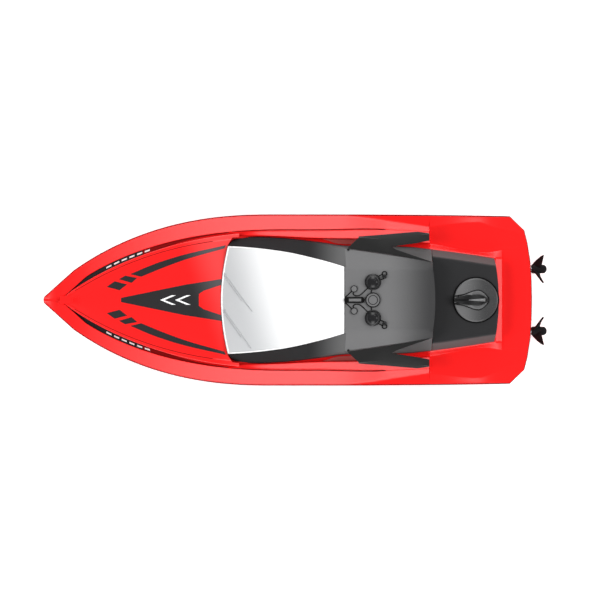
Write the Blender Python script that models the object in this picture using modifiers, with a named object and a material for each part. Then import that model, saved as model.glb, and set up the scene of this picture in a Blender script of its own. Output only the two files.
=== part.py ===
"""Twin-screw toy speedboat, built as an assembly of separate parts.

Frame: +X forward, +Y to port, +Z up. The origin lies under the middle of the boat's overall
length, on its centreline, at the height of the flat keel pad. Lengths below are millimetres,
and MM turns them into Blender's metres. Along the boat they are stations, measured forward
from the middle of the transom.
"""

import math

import bmesh
import bpy
from mathutils import Matrix, Vector

MM = 0.001
GAP = 0.3

# Driving dimensions
HULL_LENGTH = 280.0
HALF_BEAM = 49.1
PROPELLER_OVERHANG = 9.6
MID_STATION = (HULL_LENGTH - PROPELLER_OVERHANG) / 2
WALL = 1.8

# Heights above the keel pad
SHEER = 32.5
SHEER_RISE = 4.5
CREASE = 40.0
LEDGE = 38.5
VALLEY = 36.0
SHOULDER = 43.6
AFT_DECK = 35.0
CANOPY_FOOT = 39.0
LID_TOP = 48.5

# Stations of the main features
BOW_TAPER_START = 150.0
WINDSHIELD_FRONT = 178.0
WINDSHIELD_REAR = 107.2
ROOF_REAR = 57.5
SHOULDER_REAR = 59.0
LID_REAR = 19.6

# Drive line
SHAFT_OFFSET = 17.9
SHAFT_SLOPE = math.radians(5.0)
HUB_STATION = -4.8
HUB_HEIGHT = 10.6
SHAFT_RADIUS = 1.0
PROPELLER_RADIUS = 9.1
HUB_RADIUS = 2.5

# Hatch lock
KNOB_STATION = 32.6
KNOB_RADIUS = 12.5
KNOB_BASE = LID_TOP + GAP
GRIP_TOP = 57.0
SPINDLE_RADIUS = 2.2
BUSH_RADIUS = 4.4
SOCKET_RADIUS = 6.0

SIDES = (("port", 1), ("starboard", -1))


# ---------------------------------------------------------------- materials

PALETTE = {
    "red_plastic": ((0.80, 0.010, 0.012), 0.22, 0.0),
    "black_plastic": ((0.018, 0.018, 0.019), 0.30, 0.0),
    "white_plastic": ((0.86, 0.87, 0.88), 0.25, 0.0),
    "silicone": ((0.75, 0.20, 0.05), 0.60, 0.0),
    "rubber": ((0.03, 0.03, 0.03), 0.80, 0.0),
    "brass": ((0.72, 0.50, 0.20), 0.30, 1.0),
    "steel": ((0.60, 0.60, 0.62), 0.30, 1.0),
    "motor_can": ((0.52, 0.53, 0.55), 0.35, 1.0),
    "grey_plastic": ((0.22, 0.23, 0.24), 0.50, 0.0),
    "battery_wrap": ((0.02, 0.10, 0.35), 0.35, 0.0),
    "board_green": ((0.02, 0.22, 0.08), 0.45, 0.0),
    "wire_red": ((0.60, 0.02, 0.02), 0.45, 0.0),
    "wire_black": ((0.02, 0.02, 0.02), 0.45, 0.0),
}


def make_materials():
    made = {}
    for name, (colour, roughness, metallic) in PALETTE.items():
        material = bpy.data.materials.new(name)
        material.use_nodes = True
        shader = material.node_tree.nodes["Principled BSDF"]
        shader.inputs["Base Color"].default_value = (*colour, 1.0)
        shader.inputs["Roughness"].default_value = roughness
        shader.inputs["Metallic"].default_value = metallic
        material.diffuse_color = (*colour, 1.0)
        made[name] = material
    return made


# ---------------------------------------------------------------- curves of the form


def place(station, side, height):
    """The point at a station, a distance to port and a height, in metres."""
    return Vector(((station - MID_STATION) * MM, side * MM, height * MM))


def eased(keys, at):
    """A smooth curve through (position, value) keys with rising positions, held level at both ends."""
    if at <= keys[0][0]:
        return keys[0][1]
    if at >= keys[-1][0]:
        return keys[-1][1]
    i = next(k for k in range(len(keys) - 1) if keys[k + 1][0] >= at)

    def slope(k):
        if k in (0, len(keys) - 1):
            a, b = (k, k + 1) if k == 0 else (k - 1, k)
            return (keys[b][1] - keys[a][1]) / (keys[b][0] - keys[a][0])
        before = (keys[k][1] - keys[k - 1][1]) / (keys[k][0] - keys[k - 1][0])
        after = (keys[k + 1][1] - keys[k][1]) / (keys[k + 1][0] - keys[k][0])
        return 0.0 if before * after <= 0 else 2 * before * after / (before + after)

    (p, a), (q, b) = keys[i], keys[i + 1]
    span = q - p
    t = (at - p) / span
    return (
        a * (2 * t**3 - 3 * t**2 + 1)
        + slope(i) * span * (t**3 - 2 * t**2 + t)
        + b * (3 * t**2 - 2 * t**3)
        + slope(i + 1) * span * (t**3 - t**2)
    )


def bow_curve(at, breadth, start, tip, power, fullness):
    """A half-breadth that is level aft of start and closes on the centreline at tip."""
    if at <= start:
        return breadth
    share = min((at - start) / (tip - start), 1.0)
    return breadth * (1 - share**power) ** fullness


def sheer_breadth(at):
    """The hull's outline seen from above, without the cut-off stern corners."""
    aft = eased([(0, 47.9), (50, 48.7), (95, HALF_BEAM)], at)
    return min(aft, bow_curve(at, HALF_BEAM, BOW_TAPER_START, HULL_LENGTH + 1.5, 2.3, 0.875))


def sheer_height(at):
    return SHEER + SHEER_RISE * max((at - 110) / 170, 0) ** 1.6


def crease_breadth(at):
    """The top of the outer band that runs round the deck."""
    return bow_curve(at, 41.1, 140, 271.5, 2.3, 0.8)


def cover_breadth(at):
    """The edge of the removable foredeck cover, inside the groove."""
    return bow_curve(at, 38.7, 150, 270, 2.0, 0.87)


def canopy_base_breadth(at):
    """The foot of the black canopy, from the rear lid to the front of the pillars."""
    keys = [(19, 23.4), (35, 26.0), (52, 28.3), (75, 30.7), (107, 31.2), (122, 33.3)]
    keys += [(145, 35.7), (158, 36.2), (166, 36.0), (174, 33.6)]
    return eased(keys, at)


def cover_top(at, side):
    """Height of the foredeck cover's crowned top."""
    ridge = eased([(178, 47.0), (215, 45.2), (250, 43.0), (272, 41.8)], at)
    edge = eased([(178, 44.2), (215, 43.0), (250, 42.0), (272, 41.4)], at)
    share = min(abs(side) / max(cover_breadth(at) - 2.6, 1.0), 1.0)
    return edge + (ridge - edge) * (1 - share**2)


def windshield_edge(at):
    """(half-breadth, height) of the windshield's long edges."""
    breadth = eased([(107.2, 19.4), (121.6, 23.3), (144.6, 28.0), (166, 30.3), (177, 30.9)], at)
    rise = (WINDSHIELD_FRONT - at) / (WINDSHIELD_FRONT - WINDSHIELD_REAR)
    return breadth, 45.6 + 18.2 * math.sin(math.pi / 2 * max(rise, 0)) ** 0.92


def pillar_foot(at):
    """(half-breadth, height) where the canopy's lower wall turns into the sloping pillar."""
    breadth = canopy_base_breadth(at) - eased([(107.2, 1.7), (140, 0.4), (176, 0.3)], at)
    return breadth, eased([(107.2, 57.0), (125, 50.0), (145, 43.6), (176, 40.6)], at)


def roof_edge(at):
    """(crease breadth, crease height, eave breadth, eave height) of the roof."""
    crease = eased([(ROOF_REAR, 62.2), (75, 64.2), (92, 64.8), (WINDSHIELD_REAR, 64.2)], at)
    eave = eased([(ROOF_REAR, 21.8), (82, 25.6), (WINDSHIELD_REAR, 29.2)], at)
    return 17.4, crease, eave, crease - 5.0 - 2.2 * (at - ROOF_REAR) / (WINDSHIELD_REAR - ROOF_REAR)


# ---------------------------------------------------------------- modelling tools


class Workshop:
    """The collections and materials that every part is made with."""

    def __init__(self):
        self.materials = make_materials()
        self.parts = bpy.data.collections.new("toy_speedboat")
        self.cutters = bpy.data.collections.new("cutters")
        for collection in (self.parts, self.cutters):
            bpy.context.scene.collection.children.link(collection)

    def add(self, name, mesh, material=None):
        """A named part, or a hidden cutter where no material is given."""
        obj = bpy.data.objects.new(name, mesh)
        if material is None:
            obj.hide_render = True
            obj.display_type = "WIRE"
            self.cutters.objects.link(obj)
        else:
            mesh.materials.append(self.materials[material])
            self.parts.objects.link(obj)
        return obj


SHOP = None


def mesh_from(build):
    """A mesh filled by build(bm), with its faces pointing out."""
    bm = bmesh.new()
    build(bm)
    bmesh.ops.recalc_face_normals(bm, faces=bm.faces)
    mesh = bpy.data.meshes.new("mesh")
    bm.to_mesh(mesh)
    bm.free()
    return mesh


def loft(name, rings, material=None):
    """A closed skin over rings of equal count, capped at both ends."""

    def build(bm):
        rows = [[bm.verts.new(point) for point in ring] for ring in rings]
        count = len(rows[0])
        for near, far in zip(rows, rows[1:]):
            for i in range(count):
                j = (i + 1) % count
                bm.faces.new((near[i], near[j], far[j], far[i]))
        bm.faces.new(rows[0])
        bm.faces.new(rows[-1])

    return SHOP.add(name, mesh_from(build), material)


def mirrored_ring(station, half_top, half_bottom):
    """A ring across the boat from half outlines of (side, height), listed from outboard to the centreline."""
    top = [place(station, b, z) for b, z in half_top]
    top += [place(station, -b, z) for b, z in reversed(half_top[:-1])]
    bottom = [place(station, -b, z) for b, z in half_bottom]
    bottom += [place(station, b, z) for b, z in reversed(half_bottom[:-1])]
    return top + bottom


def slab(name, outline, low, high, material=None):
    """A flat outline of (station, side) points raised from one height to another."""

    def build(bm):
        face = bm.faces.new([bm.verts.new(place(s, b, low)) for s, b in outline])
        grown = bmesh.ops.extrude_face_region(bm, geom=[face])
        lifted = [v for v in grown["geom"] if isinstance(v, bmesh.types.BMVert)]
        bmesh.ops.translate(bm, verts=lifted, vec=(0, 0, (high - low) * MM))

    return SHOP.add(name, mesh_from(build), material)


def block(name, station, side, height, size, material=None):
    """A box centred on a point, with its size along, across and up."""

    def build(bm):
        bmesh.ops.create_cube(bm, size=1.0)
        bmesh.ops.scale(bm, verts=bm.verts, vec=[v * MM for v in size])

    obj = SHOP.add(name, mesh_from(build), material)
    obj.location = place(station, side, height)
    return obj


def rod(name, start, end, radius, material=None, sides=16, end_radius=None):
    """A cylinder or cone between two points given in metres."""
    along = end - start

    def build(bm):
        bmesh.ops.create_cone(
            bm,
            cap_ends=True,
            segments=sides,
            radius1=radius * MM,
            radius2=(radius if end_radius is None else end_radius) * MM,
            depth=along.length,
        )

    obj = SHOP.add(name, mesh_from(build), material)
    obj.rotation_mode = "QUATERNION"
    obj.rotation_quaternion = along.to_track_quat("Z", "Y")
    obj.location = (start + end) / 2
    if material:
        obj.data.shade_smooth()
        obj.data.set_sharp_from_angle(angle=math.radians(40))
    return obj


def turned(name, profile, origin, axis, material=None, steps=24):
    """A profile of (radius, height) from the top down, turned about an axis through origin."""
    mesh = bpy.data.meshes.new(name)
    points = [(r * MM, 0, h * MM) for r, h in profile]
    mesh.from_pydata(points, [(i, i + 1) for i in range(len(points) - 1)], [])
    obj = SHOP.add(name, mesh, material)
    obj.rotation_mode = "QUATERNION"
    obj.rotation_quaternion = Vector(axis).to_track_quat("Z", "Y")
    obj.location = origin
    screw = obj.modifiers.new("turn", "SCREW")
    screw.steps = steps
    screw.render_steps = steps
    screw.use_merge_vertices = True
    screw.merge_threshold = 0.00002
    return obj


def wire(name, points, radius, material, cyclic=False, sides=2):
    """A round wire along points given in metres."""
    curve = bpy.data.curves.new(name, "CURVE")
    curve.dimensions = "3D"
    curve.bevel_depth = radius * MM
    curve.bevel_resolution = sides
    curve.use_fill_caps = not cyclic
    spline = curve.splines.new("POLY")
    spline.points.add(len(points) - 1)
    for target, point in zip(spline.points, points):
        target.co = (*point, 1.0)
    spline.use_cyclic_u = cyclic
    curve.materials.append(SHOP.materials[material])
    obj = bpy.data.objects.new(name, curve)
    SHOP.parts.objects.link(obj)
    return obj


def smooth_route(knots, count):
    """Points along a smooth curve through a few knots, in metres."""
    ends = [2 * knots[0] - knots[1], *knots, 2 * knots[-1] - knots[-2]]
    route = []
    for i in range(count):
        at = i / (count - 1) * (len(knots) - 1)
        k = min(int(at), len(knots) - 2)
        t = at - k
        a, b, c, d = ends[k : k + 4]
        route.append(
            0.5 * ((2 * b) + (c - a) * t + (2 * a - 5 * b + 4 * c - d) * t**2)
            + 0.5 * ((3 * b - a - 3 * c + d) * t**3)
        )
    return route


def boolean(target, other, operation):
    modifier = target.modifiers.new(operation.lower(), "BOOLEAN")
    modifier.operation = operation
    modifier.object = other
    return target


def cut(target, *cutters):
    for cutter in cutters:
        boolean(target, cutter, "DIFFERENCE")
    return target


def join(target, *others):
    for other in others:
        boolean(target, other, "UNION")
    return target


def soften(target, width, segments=2, angle=30):
    """Rounds the part's sharper edges."""
    modifier = target.modifiers.new("bevel", "BEVEL")
    modifier.width = width * MM
    modifier.segments = segments
    modifier.limit_method = "ANGLE"
    modifier.angle_limit = math.radians(angle)
    return target


def both_sides(outline):
    """A closed outline from its port half, listed from the bow end to the stern end."""
    return list(outline) + [(s, -b) for s, b in reversed(outline) if b > 0]


# ---------------------------------------------------------------- hull

HULL_STATIONS = [-3, 30, 75, 115, 150, 170, 188, 204, 218, 230, 241, 251, 260, 267, 273, 277, 280]
TRANSOM_INSET = 1.2
HOLLOW_REAR = 3.2
HOLLOW_FRONT = 262
BOARD_POSTS = (95.0, 15.0)
BOARD_HEIGHT = 12.0
CONTACT_STATION = 86.0
CONTACT_SIDE = 17.0
CONTACT_RADIUS = 1.6
STERN_TUBE_RADIUS = 2.0


def keel_height(at):
    return 32.5 * max((at - BOW_TAPER_START) / 130, 0) ** 2.1


def chine(at):
    """(half-breadth, height) of the hull's chine."""
    breadth = min(sheer_breadth(at) - 1.6, bow_curve(at, 42.5, 110, 282, 2.0, 1.0))
    return max(breadth, 0.6), 10.0 + 23.5 * max((at - 90) / 190, 0) ** 1.7


def hull_section(at, inset=0.0):
    """Half outline of the hull from the sheer to the keel, moved inwards by inset."""
    sheer, (breadth, height), keel = sheer_breadth(at), chine(at), keel_height(at)
    strip = 2.2 * min(1.0, breadth / 12)
    pad = min(9.0, breadth * 0.4)
    return [
        (max(sheer - 0.7 - inset, 0.3), sheer_height(at)),
        (max(breadth - inset, 0.24), height + inset * 0.6),
        (max(breadth - strip - inset, 0.2), height - strip * 0.55 + inset),
        (max(pad - inset * 0.3, 0.1), keel + inset),
        (0.0, keel + inset),
    ]


def stern_trim(name, inset):
    """A cutter that gives the stern its chamfered corners and bowed transom."""
    half = [(25.0, 60.0), (4.4, 40.0), (0.6, 21.6), (0.0, 0.0)]
    edge = [(s + inset, b) for s, b in half] + [(s + inset, -b) for s, b in reversed(half[:-1])]
    return slab(name, edge + [(-30, -60), (-30, 60)], -10, 90)


def make_hull():
    rings = []
    for at in HULL_STATIONS:
        section = hull_section(at)
        rings.append(mirrored_ring(at, [section[0], (0.0, sheer_height(at))], section[1:]))
    hull = loft("hull_bottom", rings, "red_plastic")

    hollow_rings = []
    for at in [HOLLOW_REAR] + [s for s in HULL_STATIONS if HOLLOW_REAR < s < HOLLOW_FRONT]:
        section = hull_section(at, WALL)
        hollow_rings.append(mirrored_ring(at, [(section[0][0], 60.0), (0.0, 60.0)], section))
    hollow = loft("hull_hollow", hollow_rings)
    cut(hollow, stern_trim("hollow_trim", TRANSOM_INSET + 1.8))
    cut(hull, hollow, stern_trim("transom_trim", TRANSOM_INSET))

    for name, side in SIDES:
        line = shaft_line(side)
        at, offset = BOARD_POSTS[0], side * BOARD_POSTS[1]
        foot = place(at, offset, 2.6)
        head = place(at, offset, BOARD_HEIGHT - GAP)
        join(hull, rod(f"board_post_{name}", foot, head, 2.6, sides=12))
        post_bore = rod(f"post_bore_{name}", place(at, offset, 7), head + Vector((0, 0, MM)), 1.3, sides=12)
        tube_bore = rod(f"tube_bore_{name}", line(-8), line(12), STERN_TUBE_RADIUS + GAP)
        low = place(CONTACT_STATION, side * CONTACT_SIDE, -2)
        high = place(CONTACT_STATION, side * CONTACT_SIDE, 9)
        contact_bore = rod(f"contact_bore_{name}", low, high, CONTACT_RADIUS + GAP, sides=12)
        cut(hull, post_bore, tube_bore, contact_bore)
    return hull


# ---------------------------------------------------------------- deck

DECK_STATIONS = [-3, 17.4, 19.4, 40, 58.3, 59.2, 72, 86, 98, 112, 126, 140, 152, 162, 170, 178, 188, 198]
DECK_STATIONS += [208, 218, 228, 238, 247, 255, 262, 267.5, 271.5, 275, 278, 280]
BOW_TIP_START = 271.0
COCKPIT = [(166.0, 20.0), (160.0, 25.5), (120.0, 25.5), (52.0, 22.0), (46.0, 17.0)]
COAMING_WALL = 1.8
COAMING_HEIGHT = 3.0


def plinth_height(at):
    """Height of the flat ledge that the canopy and the foredeck cover stand on."""
    if at > BOW_TIP_START:
        return LEDGE + 0.9
    return eased([(17.4, AFT_DECK), (19.4, LEDGE)], at)


def deck_section(at):
    """Half outline of the deck's top, from the sheer to the centreline."""
    sheer, base, ledge = sheer_breadth(at), sheer_height(at) + GAP, plinth_height(at)
    if at < SHOULDER_REAR:
        recess = eased([(19, 28.4), (26, 27.1), (58, 32.2)], at)
        foot = canopy_base_breadth(at) + 0.5
        return [
            (sheer, base),
            (sheer - 1.5, AFT_DECK - 0.6),
            (sheer - 3.0, AFT_DECK),
            (recess + 1.0, AFT_DECK),
            (recess, AFT_DECK),
            (foot, ledge),
            (0.0, ledge),
        ]
    wedge = eased([(59, 5.6), (80, 2.6), (104, 0.35)], at)
    outer = [(sheer, base), (max(sheer - wedge, 0.9), base + 0.25 + wedge * 0.25)]
    if at > BOW_TIP_START:
        tip = [(0.7, ledge + 0.1), (0.55, ledge + 0.1), (0.4, ledge + 0.05), (0.2, ledge)]
        return outer + tip + [(0.0, ledge)]
    shrink = min(1.0, sheer / 12.0)
    crease = min(crease_breadth(at), eased([(59, 39.5), (90, 41.1)], at), sheer - 1.2 * shrink)
    crease_top = eased([(59, 37.0), (88, CREASE + 0.8), (140, CREASE + 0.8), (230, CREASE)], at)
    inner, inner_top, foot = crease - 0.9 * shrink, crease_top - 0.3, crease - 1.6 * shrink
    if at <= 171:
        inner = eased([(59, 32.6), (98, 34.9), (125, 35.4), (150, 37.6), (170, 39.0)], at)
        rise = eased([(100, 1.0), (150, 0.55), (171, -0.1)], at)
        inner_top = crease_top + (SHOULDER - crease_top) * rise
        foot = min(canopy_base_breadth(at) + 0.5, inner - 1.3)
    valley = ledge - eased([(112, LEDGE - VALLEY), (150, 1.0), (176, 0.0)], at)
    inside = [(crease, crease_top), (inner, inner_top), (inner - 0.5 * shrink, valley)]
    return outer + inside + [(foot, ledge), (0.0, ledge)]


def deck_underside(at):
    """Half outline of the hollow under the deck, from its lower edge to the centreline."""
    sheer, base = sheer_breadth(at), sheer_height(at)
    if at < SHOULDER_REAR:
        foot = canopy_base_breadth(at) - 1.2
        roof = AFT_DECK - 2.0
        step = [(foot + 0.5, roof), (foot, LEDGE - 2.0), (0.0, LEDGE - 2.0)]
        return [(sheer - 6, 9.0), (sheer - 6, roof), *step]
    top = deck_section(at)
    crease, crease_top = top[2]
    foot = top[5][0]
    wide = sheer - 2.2 - eased([(59, 4.4), (80, 2.0), (104, 0.0)], at)
    roof = LEDGE - 2.0 if at > 171 else VALLEY - 2.0
    shoulder = (max(crease - 1.0, foot), crease_top - 3.2)
    return [(wide, 9.0), (wide, base + 0.2), shoulder, (foot - 0.3, roof), (0.0, roof)]


def cockpit_outline(grow=0.0):
    """The opening under the canopy with clipped corners, moved outwards by grow."""
    ends = {COCKPIT[0][0]: 1.0, COCKPIT[1][0]: 0.41, COCKPIT[-2][0]: -0.41, COCKPIT[-1][0]: -1.0}
    half = []
    for s, b in COCKPIT:
        across = 0.41 if abs(ends.get(s, 0.0)) == 1.0 else 1.0
        half.append((s + grow * ends.get(s, 0.0), b + grow * across))
    return both_sides(half)


def make_deck():
    rings = [mirrored_ring(at, deck_section(at), [(0.0, sheer_height(at) + GAP)]) for at in DECK_STATIONS]
    deck = loft("deck", rings, "red_plastic")
    hollow_rings = []
    for at in [s for s in DECK_STATIONS if 18 < s < 240]:
        under = deck_underside(at)
        hollow_rings.append(mirrored_ring(at, [under[0], (0.0, 9.0)], under[1:]))
    cut(deck, loft("deck_hollow", hollow_rings))
    join(deck, slab("coaming", cockpit_outline(COAMING_WALL), LEDGE - 2.4, LEDGE + COAMING_HEIGHT))
    low, high = place(KNOB_STATION, 0, 20), place(KNOB_STATION, 0, 60)
    socket_hole = rod("socket_hole", low, high, SOCKET_RADIUS + GAP, sides=20)
    opening = slab("cockpit_opening", cockpit_outline(), 5, 80)
    return cut(deck, opening, stern_trim("deck_trim", 0.0), socket_hole)


def make_hatch_seal():
    """The soft ring that the canopy presses on, round the foot of the coaming."""
    seal = slab("hatch_seal", cockpit_outline(COAMING_WALL + 1.4), LEDGE + GAP, LEDGE + 2.0, "silicone")
    return cut(seal, slab("seal_hole", cockpit_outline(COAMING_WALL + GAP), LEDGE - 2, LEDGE + 6))


# ---------------------------------------------------------------- foredeck cover

COVER_STATIONS = [168, 172, 180, 190, 200, 210, 220, 230, 240, 249, 257, 264, 268]
COVER_WALL = 1.6


def cover_section(at, inset=0.0):
    """Half outline of the foredeck cover, from its foot to the centreline."""
    breadth = cover_breadth(at)
    shoulder = breadth - eased([(168, 3.2), (215, 2.3), (256, 1.9), (268, 0.8)], at)
    edge = cover_top(at, shoulder)
    inner = max(breadth - inset, 0.5)
    return [
        (inner, LEDGE + GAP - 3 * inset),
        (inner, edge - 2.0 - inset),
        (max(shoulder - inset, 0.4), edge - inset),
        (max(shoulder - inset, 0.4) * 0.6, cover_top(at, shoulder * 0.6) - inset),
        (max(shoulder - inset, 0.4) * 0.25, cover_top(at, shoulder * 0.25) - inset),
        (0.0, cover_top(at, 0.0) - inset),
    ]


def make_foredeck_cover():
    """The red cover between the grooves, with the tab that locates it at the bow."""
    rings = [mirrored_ring(at, cover_section(at), [(0.0, LEDGE + GAP)]) for at in COVER_STATIONS]
    cover = loft("foredeck_cover", rings, "red_plastic")
    hollow_rings = []
    for at in COVER_STATIONS[:-3]:
        section = cover_section(at, COVER_WALL)
        hollow_rings.append(mirrored_ring(at, section, [(0.0, section[0][1])]))
    tab = block("bow_tab", 265, 0, 41.8, (10.8, 4.4, 2.4))
    notch = block("bow_tab_notch", 262, 0, 43.2, (2.2, 2.2, 1.6))
    cut(cover, loft("cover_hollow", hollow_rings))
    join(cover, tab)
    room = canopy_outline(0.4) + [(100, -45), (100, 45)]
    return cut(cover, notch, slab("canopy_room", room, 30, 90))


# ---------------------------------------------------------------- canopy

FRONT_BEND = 1.3
GLASS = 1.5
PANEL = 1.5
CANOPY_STATIONS = [57.8, 61, 68, 78, 90, 107.1, 107.4, 115, 124, 134, 145, 156, 165, 173, 180]


def canopy_front(side):
    """Station of the canopy's front edge at a distance from the centreline."""
    return WINDSHIELD_FRONT - FRONT_BEND * (abs(side) / 17) ** 1.9


def canopy_outline(grow):
    """The canopy's front seen from above, from starboard round to port, moved outwards by grow."""
    half = [(canopy_front(b) + grow, b) for b in (0, 8, 17, 25, 31.3)]
    half += [(171.6 + grow, 35.4 + grow), (163, 36.3 + grow)]
    return [(s, b) for s, b in reversed(half)] + [(s, -b) for s, b in half[1:]]


def front_trim(name, inset):
    """A cutter that takes away everything ahead of the canopy's front edge."""
    return slab(name, [(163, 70), *canopy_outline(-inset), (163, -70), (220, -70), (220, 70)], 20, 95)


def frame_section(at, grow=0.0):
    """Half outline of the canopy frame, from its foot to the rim under the windshield or the roof."""
    base = canopy_base_breadth(at)
    if at < WINDSHIELD_REAR:
        crease, crease_z, eave, eave_z = roof_edge(at)
        bend = (eave - 0.9, eave_z - PANEL - 0.5)
        rim = [(crease, crease_z - PANEL - 0.6), (crease - 0.5, crease_z - PANEL - 0.65)]
        rim += [(crease - 3, crease_z - PANEL - 0.7)]
    else:
        bend = pillar_foot(at)
        edge, edge_z = windshield_edge(at)
        seat = edge_z - GLASS - 0.4
        rim = [(edge + GAP, edge_z - 0.1), (edge + GAP, seat), (edge - 2.6, seat)]
    wall_top = min(41.5, CANOPY_FOOT + (bend[1] - CANOPY_FOOT) * 0.4)
    outline = [(base, CANOPY_FOOT), (base - 0.3, wall_top), bend, *rim]
    return [(b + grow, z + grow * 0.5) for b, z in outline]


def frame_hollow(at):
    """Half outline of the space inside the frame, open at its foot and under the panels."""
    (base, _), (wall, wall_z), (bend, bend_z), (rim, _), (_, seat_z), (lip, _) = frame_section(at)
    rim_inner = min(rim - 1.4, bend - 1.6)
    return [
        (base - 1.7, 30.0),
        (wall - 1.8, wall_z - 0.6),
        (bend - 1.7, bend_z - 1.2),
        (rim_inner, seat_z - 1.4),
        (lip, seat_z - 1.4),
        (lip, seat_z + 12),
        (0.0, seat_z + 12),
    ]


def make_canopy_frame():
    """The black moulding with the canopy's side walls, pillars and rear bulkhead."""
    rings = []
    for at in CANOPY_STATIONS:
        section = frame_section(at)
        rings.append(mirrored_ring(at, [*section, (0.0, section[-1][1])], [(0.0, CANOPY_FOOT)]))
    frame = loft("canopy_frame", rings, "black_plastic")
    hollow_rings = []
    for at in [59.6, 68, 78, 90, 106.6, 107.3, 115, 124, 134, 145, 156, 165, 171]:
        hollow_rings.append(mirrored_ring(at, frame_hollow(at), [(0.0, 30.0)]))
    arch = block("bulkhead_arch", 58.5, 0, 36.0, (6, 52, 13))
    return cut(frame, loft("frame_hollow", hollow_rings), front_trim("frame_front_trim", 0.5), arch)


def windshield_top(at, side):
    """Height of the windshield's crowned outer face."""
    edge, edge_z = windshield_edge(at)
    crown = eased([(107, 2.0), (135, 3.0), (160, 2.4), (178, 1.4)], at)
    return edge_z + crown * (1 - (side / edge) ** 2)


def make_windshield():
    """The glossy white windscreen, one crowned sheet in the frame's rebate."""
    rings = []
    for at in [107.6, 114, 122, 132, 142, 152, 160, 168, 174, 181]:
        edge = windshield_edge(at)[0]
        sides = [edge * share for share in (1.0, 0.8, 0.55, 0.28, 0.0)]
        top = [(b, windshield_top(at, b)) for b in sides]
        bottom = [(b, windshield_top(at, b) - GLASS) for b in sides]
        rings.append(mirrored_ring(at, top, bottom))
    return cut(loft("windshield", rings, "white_plastic"), front_trim("windshield_trim", 0.0))


def roof_top(at, side):
    """Height of the roof panel between its two creases."""
    crease, crease_z, _, _ = roof_edge(at)
    return crease_z + 0.8 * (1 - (side / crease) ** 2)


def make_roof():
    """The roof panel, flat in the middle with a sloping strip along each side."""
    rings = []
    for at in [57.5, 61, 68, 78, 90, 106.8]:
        crease, crease_z, eave, eave_z = roof_edge(at)
        top = [(eave, eave_z), (crease, crease_z), (9.0, roof_top(at, 9.0)), (0.0, roof_top(at, 0.0))]
        bottom = [(eave - 0.5, eave_z - PANEL)] + [(b, z - PANEL) for b, z in top[1:]]
        rings.append(mirrored_ring(at, top, bottom))
    return loft("roof_panel", rings, "black_plastic")


def make_wipers():
    """Two wipers lying on the windshield, each a thin arm with a wider blade."""
    port = ("port", (176.4, 5.6), (161.0, 27.6))
    starboard = ("starboard", (176.2, -15.0), (160.4, 6.6))
    for name, pivot, tip in (port, starboard):
        points = []
        for i in range(8):
            share = i / 7
            s = pivot[0] + (tip[0] - pivot[0]) * share
            b = pivot[1] + (tip[1] - pivot[1]) * share
            points.append(place(s, b, windshield_top(s, b) + 0.95))
        wire(f"wiper_{name}", points, 0.5, "white_plastic")


LID_STATIONS = [17, 24, 34, 46, 57.2]


def lid_section(at):
    """Half outline of the aft deck lid, from its foot to the centreline."""
    base = canopy_base_breadth(at)
    top = eased([(21.4, 19.4), (56, 24.6)], at)
    return [(base, CANOPY_FOOT), (base - 0.4, 40.6), (top, LID_TOP), (0.0, LID_TOP)]


def make_aft_lid():
    """The flat black lid behind the cabin, which carries the lock."""
    rings = [mirrored_ring(at, lid_section(at), [(0.0, CANOPY_FOOT)]) for at in LID_STATIONS]
    lid = loft("aft_deck_lid", rings, "black_plastic")
    hollow_rings = []
    for at in [23.6, 34, 46, 60]:
        (base, _), (wall, wall_z), (top, _), _ = lid_section(at)
        roof = LID_TOP - 1.6
        section = [(base - 1.7, 30.0), (wall - 1.9, wall_z), (top - 1.3, roof), (0.0, roof)]
        hollow_rings.append(mirrored_ring(at, section, [(0.0, 30.0)]))
    rear = [(LID_REAR + 2.3 * (b / 23.6) ** 2, b) for b in (-30, -23.6, -16, -8, 0, 8, 16, 23.6, 30)]
    rear_trim = slab("lid_rear_trim", rear + [(0, 30), (0, -30)], 20, 70)
    low, high = place(KNOB_STATION, 0, 30), place(KNOB_STATION, 0, 60)
    spindle_hole = rod("spindle_hole", low, high, SPINDLE_RADIUS + GAP)
    return cut(lid, loft("lid_hollow", hollow_rings), rear_trim, spindle_hole)


# ---------------------------------------------------------------- side fins

FIN_SPINE = [(106.0, 29.7), (99.6, 35.6), (86, 34.6), (65.3, 37.0), (59.4, 37.6)]
FIN_OUTER = [(59.4, 38.1), (66.1, 39.0), (84.5, 37.4), (99.8, 36.2)]
FIN_INNER = [(59.4, 33.9), (66.1, 32.5), (80.8, 30.3), (78.5, 28.8), (66.5, 24.6), (58.8, 22.0)]
FIN_ROOT = [(66.1, 23.2), (84.5, 26.5), (106.0, 29.3)]
FIN_THICKNESS = 2.4
FIN_DROP = 1.6


def fin_height(at, side):
    """Height of a fin's upper face, which falls away from the cabin."""
    eave = roof_edge(at)[2]
    return roof_edge(at)[3] + 0.4 - 0.30 * max(side - eave, 0)


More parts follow.
